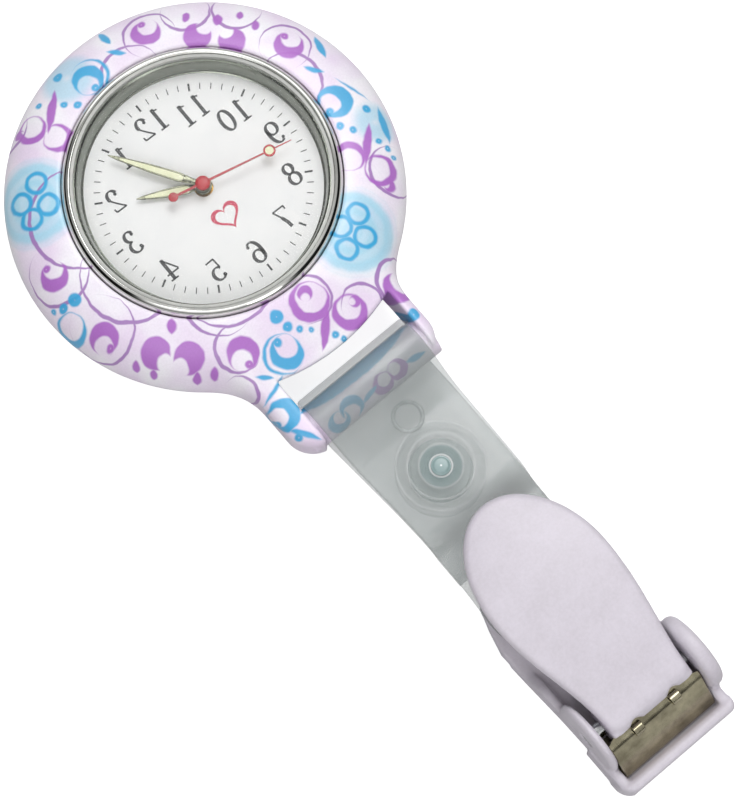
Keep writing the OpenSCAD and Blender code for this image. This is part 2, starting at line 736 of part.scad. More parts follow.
function lever_section() = let(n = 16) concat(
    [for (i = [0:n]) let(u = i / n) [-lever_tip_y - (lever_len - 1.2) * u, lever_top(u)]],
    arc(-lever_rear_y + 1.2, lever_rear_z - 1.4, 1.2, 1.4, 105, 180, 5),
    [[-lever_rear_y, lever_rear_z - lever_t]],
    [for (i = [n:-1:0]) let(u = i / n)
        [-lever_tip_y - (lever_len - 1.2) * u, max(lever_top(u) - lever_t, lever_rear_z - lever_t)]]);

module clip_lever() color("thistle") at_head() difference() {
    union() {
        intersection() {
            across(10) polygon(lever_section());
            linear_extrude(12) lever_outline();
        }
        for (s = [0, 1]) mirror([s, 0, 0]) {
            translate([0, -pin_y, pin_z]) bar_x(knuckle_r, knuckle_in_x, lever_rear_half_w);
            translate([knuckle_in_x, -pin_y - knuckle_r, pin_z])
                cube([lever_rear_half_w - knuckle_in_x, 2 * knuckle_r, lever_rear_z - pin_z - 0.5]);
        }
    }
    translate([0, -pin_y, pin_z]) bar_x(pin_r + run_gap, -10, 10);
}

case_cover();
watch_case();
case_back();
back_gasket();
bezel();
crystal();
crystal_gasket();
dial_flange();
dial();
movement_holder();
main_plate();
train_bridge();
bridge_screws();
battery();
battery_contact();
circuit_board();
quartz_can();
stator();
coil();
coil_core();
rotor();
fifth_wheel();
second_wheel();
second_hand();
third_wheel();
centre_wheel();
minute_hand();
minute_lume();
minute_wheel();
hour_wheel();
hour_hand();
hour_lume();
setting_lever();
stem_tube();
winding_stem();
crown();
strap();
snap_cap();
snap_socket();
snap_stud();
snap_post_cap();
clip_base();
strap_rivet();
pivot_pin();
clip_spring();
clip_lever();
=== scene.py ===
"""Fob watch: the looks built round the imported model, laid out as a Blender add-on.

Shapes are worked out in millimetres from the dial's axis: x to the right, y towards twelve
o'clock and z up from the surface that the watch lies on. `metres` turns them into scene places.
"""

import itertools
import json
import math

import bpy
import numpy as np
from mathutils import Matrix, Vector


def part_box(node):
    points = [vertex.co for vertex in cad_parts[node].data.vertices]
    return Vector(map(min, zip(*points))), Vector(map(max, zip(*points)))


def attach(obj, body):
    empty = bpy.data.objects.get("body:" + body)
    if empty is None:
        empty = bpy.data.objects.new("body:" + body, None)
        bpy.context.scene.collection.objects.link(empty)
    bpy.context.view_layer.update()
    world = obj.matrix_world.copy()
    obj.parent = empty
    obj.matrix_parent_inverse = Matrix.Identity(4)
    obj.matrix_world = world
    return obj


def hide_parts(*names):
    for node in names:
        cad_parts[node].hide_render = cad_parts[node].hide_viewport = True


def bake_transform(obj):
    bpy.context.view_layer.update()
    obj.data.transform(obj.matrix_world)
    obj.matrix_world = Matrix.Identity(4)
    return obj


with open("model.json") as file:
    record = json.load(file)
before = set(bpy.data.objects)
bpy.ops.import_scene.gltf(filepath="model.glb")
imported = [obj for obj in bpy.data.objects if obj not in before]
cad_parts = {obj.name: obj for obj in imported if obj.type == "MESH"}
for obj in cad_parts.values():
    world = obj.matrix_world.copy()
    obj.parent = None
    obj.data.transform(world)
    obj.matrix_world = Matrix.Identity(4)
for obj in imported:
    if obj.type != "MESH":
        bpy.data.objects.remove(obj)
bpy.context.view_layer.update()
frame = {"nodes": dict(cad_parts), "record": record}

bl_info = {
    "name": "Fob watch",
    "version": (1, 0, 0),
    "blender": (4, 5, 0),
    "location": "3D View > Sidebar > Fob watch",
    "description": "Builds a fob watch in a printed silicone cover, with its strap and clip",
    "category": "Add Mesh",
}

MM = 0.001
DIAL_LOW, DIAL_HIGH = (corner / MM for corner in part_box("dial"))
HEAD_Y = (DIAL_LOW.y + DIAL_HIGH.y) / 2
DIAL_TOP = DIAL_HIGH.z
COVER_LOW, COVER_HIGH = (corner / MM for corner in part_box("case_cover"))
SLOT_OF = {row["node"]: row["material_slot"] for row in frame["record"]["subparts"]}

# Measures that several pieces of the clip share, in mm: distances down from the dial's axis,
# heights, and the place of the spring's two tabs. Then the sides that the round parts of the watch
# are turned with, and the hands' half width at the neck and their thickness.
PIN_DOWN, PIN_HIGH = 65.2, 5.0
RIVET_DOWN = 52.5
BASE_FRONT, BASE_REAR = 47.5, 72.0
THUMB_TIP, THUMB_WIDEST, LEVER_REAR = 42.2, 52, 67.1
TAB_SIDE, TAB_DOWN = 2.3, 67.5
EAR_INSIDE = 5.75
DIAL_SIDES = 256
HAND_NECK, HAND_THICK = 0.3, 0.15


# ---------------------------------------------------------------- numbers and colours

def linear(code):
    """Linear colour of an sRGB hex code, by the standard curve."""
    level = np.array([int(code[i:i + 2], 16) for i in (1, 3, 5)]) / 255
    level = np.where(level <= 0.04045, level / 12.92, ((level + 0.055) / 1.055) ** 2.4)
    return (*level.tolist(), 1.0)


def metres(points):
    """Scene places of points given in millimetres from the dial's axis."""
    return (np.asarray(points, float) + [0, HEAD_Y, 0]) * MM


def ease(share):
    """Half a cosine wave from 0 to 1: (1 - cos(pi u)) / 2, level at both ends."""
    return (1 - np.cos(np.pi * np.clip(share, 0, 1))) / 2


def join(a, b, soft):
    """Soft union of two distances: the lower one, less (soft - |a - b|)^2 / (4 soft) near a tie."""
    return np.minimum(a, b) - np.maximum(soft - np.abs(a - b), 0) ** 2 / (4 * soft)


def cut(a, b, soft):
    """What is left of distance a when solid b is taken away, with the same soft edge."""
    return -join(-a, b, soft)


def edge(a, b, radius):
    """Distance to where both are inside, with the corner between them rounded to a radius."""
    a, b = a + radius, b + radius
    return np.minimum(np.maximum(a, b), 0) + np.hypot(np.maximum(a, 0), np.maximum(b, 0)) - radius


def ellipse(a, b, width, height):
    """Near distance to an ellipse: k (k - 1) / |gradient|, with k the point's length in half axes."""
    length = np.hypot(a / width, b / height)
    return length * (length - 1) / np.maximum(np.hypot(a / width ** 2, b / height ** 2), 1e-6)


def plate(value, low, high):
    """Distance to the slab between two values."""
    return np.abs(value - (low + high) / 2) - (high - low) / 2


# ---------------------------------------------------------------- surfaces

def grid_faces(rows, columns, wrap_rows=False, wrap_columns=True):
    """Quads of a grid of points, closed round its columns, its rows or both."""
    i = np.arange(rows if wrap_rows else rows - 1)[:, None]
    j = np.arange(columns if wrap_columns else columns - 1)[None, :]
    i_next, j_next = (i + 1) % rows, (j + 1) % columns
    corners = [i * columns + j, i * columns + j_next, i_next * columns + j_next, i_next * columns + j]
    return np.stack([np.broadcast_to(c, np.broadcast(i, j).shape) for c in corners], -1).reshape(-1, 4)


def loft(rows):
    """A closed skin over a stack of closed rings of points, with a fan to the middle of each end ring."""
    rows = np.asarray(rows, float)
    count, around = rows.shape[:2]
    points = np.concatenate([rows.reshape(-1, 3), rows[:1].mean(1), rows[-1:].mean(1)])
    here = np.arange(around)
    following = (here + 1) % around
    last = (count - 1) * around
    fans = [np.stack([following, here, np.full(around, count * around)], -1),
            np.stack([last + here, last + following, np.full(around, count * around + 1)], -1)]
    return points, [grid_faces(count, around), *fans]


def torus(rows):
    """A skin that closes both ways over rings of points."""
    rows = np.asarray(rows, float)
    return rows.reshape(-1, 3), [grid_faces(rows.shape[0], rows.shape[1], wrap_rows=True)]


def rounded(corners, steps=6):
    """Points along a bent line: each corner (a, b, reach) becomes the curve
    (1-t)^2 p + 2 t (1-t) corner + t^2 q between the points a reach away on both sides."""
    corners = np.array([(*c, 0) if len(c) == 2 else c for c in corners], float)
    place, reach = corners[:, :2], corners[:, 2]
    t = np.linspace(0, 1, steps)[:, None]
    line = [place[:1]]
    for k in range(1, len(place) - 1):
        back, ahead = place[k - 1] - place[k], place[k + 1] - place[k]
        p = place[k] + back / np.linalg.norm(back) * reach[k]
        q = place[k] + ahead / np.linalg.norm(ahead) * reach[k]
        curve = (1 - t) ** 2 * p + 2 * t * (1 - t) * place[k] + t ** 2 * q
        line.append(curve if reach[k] else place[k:k + 1])
    line.append(place[-1:])
    return np.concatenate(line)


def turned(profile, around=128, centre=(0, 0), closed=False):
    """A profile (radius r, height z) carried round a vertical axis: (r cos a, r sin a, z).
    A closed profile makes a ring. An open one starts and ends on the axis."""
    profile = np.asarray(profile, float)
    angle = np.linspace(0, 2 * np.pi, around, endpoint=False)
    if not closed:
        profile = profile[profile[:, 0] > 1e-6]
    r, z = profile[:, :1], profile[:, 1:]
    rows = np.stack([centre[0] + r * np.cos(angle), centre[1] + r * np.sin(angle), z + 0 * angle], -1)
    return torus(rows) if closed else loft(rows)


def lying(shell, place):
    """A turned shell laid on its side, its axis along x through a point."""
    points, faces = shell
    return points[:, [2, 0, 1]] + np.asarray(place, float), faces


def band(left, right, low, high):
    """A flat bar between two lines of points (x, y), from one height to another."""
    rows = [np.column_stack([line, np.full(len(line), z)])
            for line, z in ((left, high), (right, high), (right, low), (left, low))]
    return loft(np.stack(rows, 1))


def field_skin(field, low, high, step):
    """The surface where a distance field is zero. Each grid cell that the surface crosses gets one
    point, the mean of the crossings a + t (b - a), t = f(a) / (f(a) - f(b)), on its twelve edges.
    The point then slides down the gradient g by f g / |g|^2, three times."""
    axes = [np.arange(a, b + step, step) for a, b in zip(low, high)]
    value = field(*np.meshgrid(*axes, indexing="ij"))
    cells = [n - 1 for n in value.shape]
    corners = list(itertools.product((0, 1), repeat=3))
    part = {c: value[tuple(slice(o, o + n) for o, n in zip(c, cells))] for c in corners}
    inside = np.stack([part[c] < 0 for c in corners])
    mixed = inside.any(0) & ~inside.all(0)
    found = np.argwhere(mixed)
    total, count = np.zeros((len(found), 3)), np.zeros(len(found))
    for a, b in itertools.combinations(corners, 2):
        if sum(abs(p - q) for p, q in zip(a, b)) != 1:
            continue
        fa, fb = part[a][mixed], part[b][mixed]
        crosses = (fa < 0) != (fb < 0)
        t = np.where(crosses, fa / np.where(fa == fb, 1, fa - fb), 0)
        total += np.where(crosses[:, None], np.array(a) + t[:, None] * (np.array(b) - np.array(a)), 0)
        count += crosses
    points = np.array(low) + step * (found + total / count[:, None])
    for _ in range(3):
        reach = step * 0.05
        slope = np.stack([(field(*(points + reach * d).T) - field(*(points - reach * d).T)) / (2 * reach)
                          for d in np.eye(3)], -1)
        away = field(*points.T)[:, None] * slope / np.maximum((slope ** 2).sum(1), 0.05)[:, None]
        points = points - np.clip(away, -step, step)
    index = np.full(cells, -1)
    index[mixed] = np.arange(len(found))
    quads = []
    for axis in range(3):
        u, v = (axis + 1) % 3, (axis + 2) % 3
        whole = [slice(None)] * 3
        start, end = list(whole), list(whole)
        start[axis], end[axis] = slice(0, -1), slice(1, None)
        crosses = (value[tuple(start)] < 0) != (value[tuple(end)] < 0)
        leaves = value[tuple(start)] < 0
        at = np.argwhere(crosses)
        at = at[(at[:, u] > 0) & (at[:, v] > 0) & (at[:, u] < cells[u]) & (at[:, v] < cells[v])]
        back_u, back_v = np.eye(3, dtype=int)[u], np.eye(3, dtype=int)[v]
        four = [index[tuple((at - a * back_u - b * back_v).T)] for a, b in ((1, 1), (0, 1), (0, 0), (1, 0))]
        four = np.stack(four, -1)
        quads.append(np.where(leaves[tuple(at.T)][:, None], four, four[:, ::-1]))
    return points, [np.concatenate(quads)]


def facing_out(points, faces):
    """Turns a closed shell's faces round if its volume, the sum of a . (b x c) / 6, is below zero."""
    volume = 0.0
    middle = points.mean(0)
    for block in faces:
        for k in range(1, block.shape[1] - 1):
            a, b, c = (points[block[:, i]] - middle for i in (0, k, k + 1))
            volume += (a * np.cross(b, c)).sum()
    return [block[:, ::-1] for block in faces] if volume < 0 else faces


def piece(name, shells, finish, body, nodes=(), crease=35):
    """One object from closed shells, on a body, in place of the CAD nodes that it stands for."""
    points, faces, start = [], [], 0
    for shell_points, shell_faces in shells:
        shell_points = np.asarray(shell_points, float)
        for block in facing_out(shell_points, shell_faces):
            faces += (block + start).tolist()
        points.append(shell_points)
        start += len(shell_points)
    mesh = bpy.data.meshes.new(name)
    mesh.from_pydata(metres(np.concatenate(points)).tolist(), [], faces)
    mesh.validate()
    mesh.shade_smooth()
    mesh.set_sharp_from_angle(angle=math.radians(crease))
    mesh.materials.append(finish)
    made = bpy.data.objects.new(name, mesh)
    bpy.context.scene.collection.objects.link(made)
    if body:
        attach(made, body)
    if nodes:
        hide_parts(*nodes)
    return made


# ---------------------------------------------------------------- materials

def add(tree, kind, inputs=None, **settings):
    """Adds a node. Inputs are given by name or number, as a value, a socket or another node, which
    stands for its first output."""
    node = tree.nodes.new(kind if kind.startswith("NodeGroup") else "ShaderNode" + kind)
    for name, value in settings.items():
        setattr(node, name, value)
    for name, value in (inputs or {}).items():
        socket = node.inputs[name]
        if isinstance(value, bpy.types.Node):
            value = value.outputs[0]
        if isinstance(value, bpy.types.NodeSocket):
            tree.links.new(value, socket)
        else:
            socket.default_value = value
    return node


def blank(name):
    """A material with nothing in it, its node tree, and object coordinates in millimetres from the
    dial's axis."""
    made = bpy.data.materials.new(name)
    made.use_nodes = True
    tree = made.node_tree
    tree.nodes.clear()
    place = add(tree, "Mapping", {
        "Vector": add(tree, "TexCoord").outputs["Object"],
        "Scale": (1 / MM, 1 / MM, 1 / MM),
        "Location": (0, -HEAD_Y, 0)})
    return made, tree, place


def surface(tree, sockets):
    """The shader that every material ends in."""
    shader = add(tree, "BsdfPrincipled", sockets)
    add(tree, "OutputMaterial", {"Surface": shader})
    return shader


def worked(name, dark, light, rough, grain, bump=0.0, stretch=(1, 1, 1), **sockets):
    """A finish whose colour and roughness wander between two values with a grain of so many
    millimetres, drawn out along an axis where the surface was brushed, rolled or wound."""
    made, tree, place = blank(name)
    place = add(tree, "Mapping", {"Vector": place, "Scale": stretch})
    fine = add(tree, "TexNoise", {"Vector": place, "Scale": 1 / grain, "Detail": 4.0, "Roughness": 0.6})
    broad = add(tree, "TexNoise", {"Vector": place, "Scale": 0.12 / grain, "Detail": 2.0})
    both = add(tree, "Math", {0: fine, 1: broad}, operation="ADD")
    share = add(tree, "MapRange", {"Value": both, "From Min": 0.7, "From Max": 1.3})
    colour = add(tree, "Mix", {0: share, 6: linear(dark), 7: linear(light)}, data_type="RGBA")
    wear = add(tree, "MapRange", {"Value": share, "To Min": rough[0], "To Max": rough[1]})
    filled = {"Base Color": colour.outputs[2], "Roughness": wear}
    if bump:
        filled["Normal"] = add(tree, "Bump", {"Height": fine, "Strength": 1.0, "Distance": bump * MM})
    filled.update({key.replace("_", " "): value for key, value in sockets.items()})
    surface(tree, filled)
    return made


def disc_group():
    """Distance, in millimetres, to a shape made of two discs: what lies in disc A and, by the sign
    of Side, also in disc B (a leaf) or outside it (a curl, a hoop, or a dot where B has no size)."""
    group = bpy.data.node_groups.new("Two discs", "ShaderNodeTree")
    for name, kind in (("Place", "Vector"), ("A", "Vector"), ("A radius", "Float"), ("B", "Vector"),
                       ("B radius", "Float"), ("Side", "Float")):
        group.interface.new_socket(name, in_out="INPUT", socket_type="NodeSocket" + kind)
    group.interface.new_socket("Distance", in_out="OUTPUT", socket_type="NodeSocketFloat")
    given = add(group, "NodeGroupInput").outputs
    sides = []
    for name in "AB":
        span = add(group, "VectorMath", {0: given["Place"], 1: given[name]}, operation="DISTANCE")
        sides.append(add(group, "Math", {0: span.outputs["Value"], 1: given[name + " radius"]},
                         operation="SUBTRACT"))
    turned_b = add(group, "Math", {0: sides[1], 1: given["Side"]}, operation="MULTIPLY")
    both = add(group, "Math", {0: sides[0], 1: turned_b}, operation="MAXIMUM")
    add(group, "NodeGroupOutput", {"Distance": both})
    return group


def dot(x, y, radius):
    """A round spot."""
    return (x, y, radius, x, y, 0.0, -1)


def hoop(x, y, radius, width):
    """An even ring of that middle radius and width."""
    return (x, y, radius + width / 2, x, y, radius - width / 2, -1)


def curl(x, y, radius, bite_x, bite_y, bite):
    """A comma or thin swelling loop: a disc with another disc, placed from its middle, bitten out."""
    return (x, y, radius, x + bite_x, y + bite_y, bite, -1)


def comma(x, y, radius, bite_x, bite_y, bite):
    """A comma open on one side, with a ball at the end of one of its horns."""
    span = math.hypot(bite_x, bite_y)
    along_x, along_y = 0.58 * radius * bite_x / span, 0.58 * radius * bite_y / span
    ball = dot(x + along_x - 0.8 * along_y, y + along_y + 0.8 * along_x, 0.26 * radius)
    return [curl(x, y, radius, 1.25 * bite_x, 1.25 * bite_y, bite), ball]


def leaf(x0, y0, x1, y1, half):
    """A pointed leaf between two tips: two arcs of radius (L^2 / 4 + h^2) / 2h that cross at them."""
    length = math.hypot(x1 - x0, y1 - y0)
    radius = (length ** 2 / 4 + half ** 2) / (2 * half)
    out = (radius - half) / length
    mid_x, mid_y, side_x, side_y = (x0 + x1) / 2, (y0 + y1) / 2, (y0 - y1) * out, (x1 - x0) * out
    return (mid_x + side_x, mid_y + side_y, radius, mid_x - side_x, mid_y - side_y, radius, 1)


def diamond(x, y, half):
    """A small lozenge, near enough a short fat leaf."""
    return leaf(x - half, y - half, x + half, y + half, half * 0.95)


CLOVERS = [(-14.9, 9.9), (-12.5, 10.4), (-15.1, 7.9), (-13.0, 7.9), (7.35, -12.3), (9.5, -12.3),
           (6.4, -14.4), (8.6, -14.5)]
BLUE = [
    *[hoop(x, y, 1.0, 0.42) for x, y in CLOVERS],
    dot(-17.0, -1.1, 0.66), dot(-18.35, -0.9, 0.46), dot(-19.3, -0.3, 0.32),
    dot(-3.2, -15.2, 0.66), dot(-2.95, -16.6, 0.5), dot(-2.2, -17.5, 0.33), dot(-1.3, -18.2, 0.26),
    dot(-4.0, 17.9, 0.5), dot(-7.25, 16.8, 0.36), dot(-5.4, 14.9, 0.36), dot(-4.4, 13.9, 0.42),
    dot(13.9, -4.4, 0.42), dot(14.7, -5.5, 0.36), dot(17.25, -4.4, 0.42), dot(16.0, -7.8, 0.3),
    dot(16.3, -8.8, 0.32), dot(16.2, -9.8, 0.26), dot(0.2, -20.0, 0.34), dot(0.6, -20.8, 0.3),
    dot(7.4, -23.2, 0.62), dot(-8.9, -25.4, 0.42),
    *comma(-4.6, -18.4, 1.65, 0.3, 0.4, 1.1), curl(-5.0, -18.3, 1.95, 0.25, -0.1, 1.85),
    *comma(-2.0, 15.4, 1.6, -0.3, -0.4, 1.05), curl(-1.6, 15.5, 1.95, -0.25, 0.1, 1.85),
    *comma(15.2, -2.1, 1.75, -0.45, 0.1, 1.0), *comma(-8.6, -22.8, 1.65, -0.45, 0.15, 0.95),
    curl(-19.3, -2.9, 1.75, 0.35, 0.2, 1.3), leaf(-8.4, -18.2, -7.1, -19.4, 0.28),
    leaf(-6.2, -19.8, -9.6, -20.9, 0.2), leaf(2.1, 19.2, 2.1, 17.0, 0.4), leaf(18.3, 4.9, 17.6, 2.2, 0.4),
    leaf(18.4, -4.8, 16.9, -8.4, 0.36), leaf(15.1, 2.6, 16.3, 1.0, 0.3), leaf(1.3, 16.5, 2.6, 15.0, 0.3),
    leaf(16.9, -0.3, 18.0, -3.6, 0.12), leaf(-9.2, -24.2, -7.4, -26.9, 0.3),
    curl(-4.9, -26.9, 1.2, 0.3, 0.4, 0.7), curl(-3.0, -26.5, 1.3, -0.3, -0.5, 0.9),
    leaf(-1.9, -26.9, 0.3, -26.3, 0.3),
    # the long leaf across the top of the bar, at y -23.8, is painted shade: a blue wash for the shaded strap
    # fold over it
    leaf(3.9, -26.5, 6.2, -26.9, 0.35), leaf(-7.6, -23.8, 6.4, -23.8, 0.9),
]
PURPLE = [
    *comma(-17.2, -5.8, 1.5, -0.42, -0.45, 0.98), *comma(-7.9, -15.8, 1.62, -0.42, -0.35, 1.02),
    *comma(-17.0, 2.0, 1.45, 0.3, 0.45, 0.98), *comma(5.5, 15.6, 1.5, 0.42, 0.35, 0.98),
    *comma(15.5, 5.4, 1.5, 0.45, 0.35, 0.98), curl(8.1, -20.2, 1.6, 0.95, 0.3, 1.4),
    curl(-14.3, -10.2, 1.5, 0.1, -1.35, 0.85), curl(-12.1, -12.7, 1.5, -1.3, -0.1, 0.85),
    curl(9.1, 11.9, 1.4, 1.2, 0.3, 0.8), curl(11.4, 9.3, 1.4, 0.2, 1.25, 0.8),
    diamond(-16.6, -9.8, 0.42), diamond(-11.5, -9.4, 0.5), diamond(-15.8, -11.5, 0.4),
    diamond(-12.8, -14.6, 0.46), diamond(-11.2, -15.3, 0.46), diamond(11.8, 12.1, 0.5),
    diamond(9.6, 14.4, 0.42), diamond(14.3, 9.2, 0.42), diamond(13.9, 11.2, 0.36),
    curl(0.2, -16.1, 2.0, 0.4, 0.25, 1.5), curl(2.7, -19.2, 1.75, 0.2, 0.4, 1.15),
    leaf(1.3, -17.5, -1.7, -20.4, 0.48), curl(0.4, -15.2, 0.75, -0.3, -0.4, 0.45),
    curl(3.8, -18.7, 0.6, -0.3, 0.2, 0.35),
    leaf(13.3, -9.0, 16.4, -5.8, 0.44), curl(12.7, -7.4, 1.5, -0.3, -0.25, 1.15),
    curl(14.2, -10.2, 1.6, -0.15, 0.25, 1.2), curl(13.9, -11.9, 0.62, -0.25, 0.3, 0.3),
    curl(0.9, -26.7, 1.2, 0.3, 0.3, 0.7), curl(2.9, -26.5, 1.1, -0.3, 0.3, 0.65),
    leaf(-8.4, 13.6, -5.1, 16.8, 0.46), curl(-9.4, 15.2, 1.55, 0.25, 0.25, 1.15),
    curl(-8.0, 12.5, 1.5, -0.2, 0.3, 1.15), curl(-10.6, 16.0, 0.6, 0.3, -0.25, 0.3),
]
LINES = [
    curl(-16.9, -5.1, 3.35, 0.0, 0.2, 3.25), curl(-11.3, -2.8, 5.0, 0.2, 0.2, 4.9),
    curl(-8.0, -15.1, 2.35, 0.28, -0.05, 2.25), curl(-4.6, -9.2, 4.8, 0.0, 0.3, 4.75),
    curl(-16.6, 1.9, 3.1, 0.15, 0.2, 3.0), curl(-11.5, 4.8, 5.2, 0.3, -0.1, 5.1),
    curl(-6.4, -10.4, 3.6, 0.25, -0.1, 3.5), curl(15.4, -11.0, 2.65, 0.25, 0.0, 2.55),
    curl(4.2, -19.3, 2.1, -0.2, -0.15, 2.0), curl(8.6, -19.6, 2.4, 0.2, -0.25, 2.3),
    curl(0.3, -15.8, 2.4, -0.2, 0.0, 2.3), curl(5.6, 15.3, 2.7, 0.0, -0.25, 2.6),
    curl(15.2, 5.6, 2.6, -0.2, -0.1, 2.5), curl(10.0, 15.0, 2.5, 0.1, 0.25, 2.4),
    curl(14.0, 12.0, 2.5, 0.25, 0.1, 2.4), curl(1.6, 12.9, 3.2, 0.1, -0.2, 3.1),
    curl(13.0, 2.2, 3.3, -0.25, 0.0, 3.2), curl(-11.2, 17.6, 2.4, 0.2, 0.2, 2.3),
    curl(-10.6, -18.6, 1.9, -0.2, 0.15, 1.8),
]


def printed_silicone(look):
    """Screen-printed silicone rubber: a soft satin skin with ink curls, clovers and dots laid flat
    in it. The ink follows the rim over its shoulder, so the pattern is stretched down the side."""
    made, tree, place = blank("Printed silicone rubber")
    axes = add(tree, "SeparateXYZ", {0: place}).outputs
    flat = add(tree, "CombineXYZ", {0: axes[0], 1: axes[1]})
    radius = add(tree, "VectorMath", {0: flat}, operation="LENGTH").outputs["Value"]
    shoulder = add(tree, "MapRange", {"Value": axes[2], "From Min": 7.0, "From Max": 0.0,
                                      "To Min": 0.0, "To Max": 2.8})
    ratio = add(tree, "Math", {0: shoulder, 1: radius}, operation="DIVIDE")
    ratio = add(tree, "Math", {0: ratio, 1: 1.0}, operation="ADD")
    flat = add(tree, "VectorMath", {0: flat, "Scale": ratio}, operation="SCALE")
    wobble = add(tree, "TexNoise", {"Vector": flat, "Scale": 0.8, "Detail": 1.0})
    shift = add(tree, "VectorMath", {0: wobble.outputs["Color"], 1: (0.5, 0.5, 0.5)},
                operation="SUBTRACT")
    flat = add(tree, "VectorMath", {0: shift, 1: (0.35, 0.35, 0), 2: flat}, operation="MULTIPLY_ADD")
    group = disc_group()

    def nearest(shapes):
        """Distance to the nearest of a list of shapes."""
        best = None
        for ax, ay, ra, bx, by, rb, side in shapes:
            reach = add(tree, "Group", {"Place": flat, "A": (ax, ay, 0), "A radius": ra, "B": (bx, by, 0),
                                        "B radius": rb, "Side": side}, node_tree=group)
            best = reach if best is None else add(tree, "Math", {0: best, 1: reach},
                                                  operation="MINIMUM")
        return best

    def inked(under, distance, colour, blur, strength):
        """Ink laid over a colour where the distance is below zero, fading over its blurred edge."""
        mask = add(tree, "MapRange", {"Value": distance, "From Min": blur, "From Max": -blur,
                                      "To Min": 0.0, "To Max": strength},
                   interpolation_type="SMOOTHSTEP")
        return add(tree, "Mix", {0: mask, 6: under, 7: colour}, data_type="RGBA").outputs[2]

    cloud = add(tree, "TexNoise", {"Vector": flat, "Scale": 0.16, "Detail": 2.0})
    cloud = add(tree, "MapRange", {"Value": cloud, "From Min": 0.38, "From Max": 0.62})
    colour = add(tree, "Mix", {0: cloud, 6: tuple(look.cover_tint), 7: tuple(look.cover_base)},
                 data_type="RGBA").outputs[2]
    clover = nearest([dot(-13.9, 9.0, 1.6), dot(7.95, -13.4, 1.6)])
    halo = add(tree, "Math", {0: clover, 1: 2 * math.pi / 1.5}, operation="MULTIPLY")
    halo = add(tree, "Math", {0: halo}, operation="SINE")
    fade = add(tree, "MapRange", {"Value": clover, "From Min": 1.6, "From Max": 3.4,
                                  "To Min": 1.0, "To Max": -1.2})
    halo = add(tree, "Math", {0: halo, 1: fade}, operation="MINIMUM")
    halo = add(tree, "Math", {0: halo, 1: -0.5}, operation="MULTIPLY")
    patch = nearest([dot(-13.9, 9.0, 4.2), dot(7.95, -13.4, 4.0), dot(17.0, -6.0, 2.0), dot(-3.4, 17.0, 2.6)])
    colour = inked(colour, patch, tuple(look.print_pale), 0.7, 0.72)
    colour = inked(colour, halo, tuple(look.print_pale), 0.6, 0.85)
    colour = inked(colour, nearest(LINES), tuple(look.print_line), 0.07, 0.95)
    colour = inked(colour, nearest(PURPLE), tuple(look.print_purple), 0.13, 0.95)
    # blue ink, and with it the blue wash of painted shade across the top of the bar
    colour = inked(colour, nearest(BLUE), tuple(look.print_blue), 0.13, 0.95)
    grain = add(tree, "TexNoise", {"Vector": place, "Scale": 5.0, "Detail": 3.0})
    speckle = add(tree, "MapRange", {"Value": grain, "To Min": 0.9, "To Max": 1.06})
    colour = add(tree, "VectorMath", {0: colour, "Scale": speckle}, operation="SCALE")
    rough = add(tree, "MapRange", {"Value": grain, "To Min": 0.3, "To Max": 0.45})
    relief = add(tree, "Bump", {"Height": grain, "Strength": 0.5, "Distance": 0.012 * MM})
    surface(tree, {"Base Color": colour, "Roughness": rough, "Normal": relief, "IOR": 1.43,
                   "Coat Weight": 0.25, "Coat Roughness": 0.2, "Subsurface Weight": 0.12,
                   "Subsurface Radius": (1.0, 0.8, 0.9), "Subsurface Scale": 0.8 * MM})
    return made


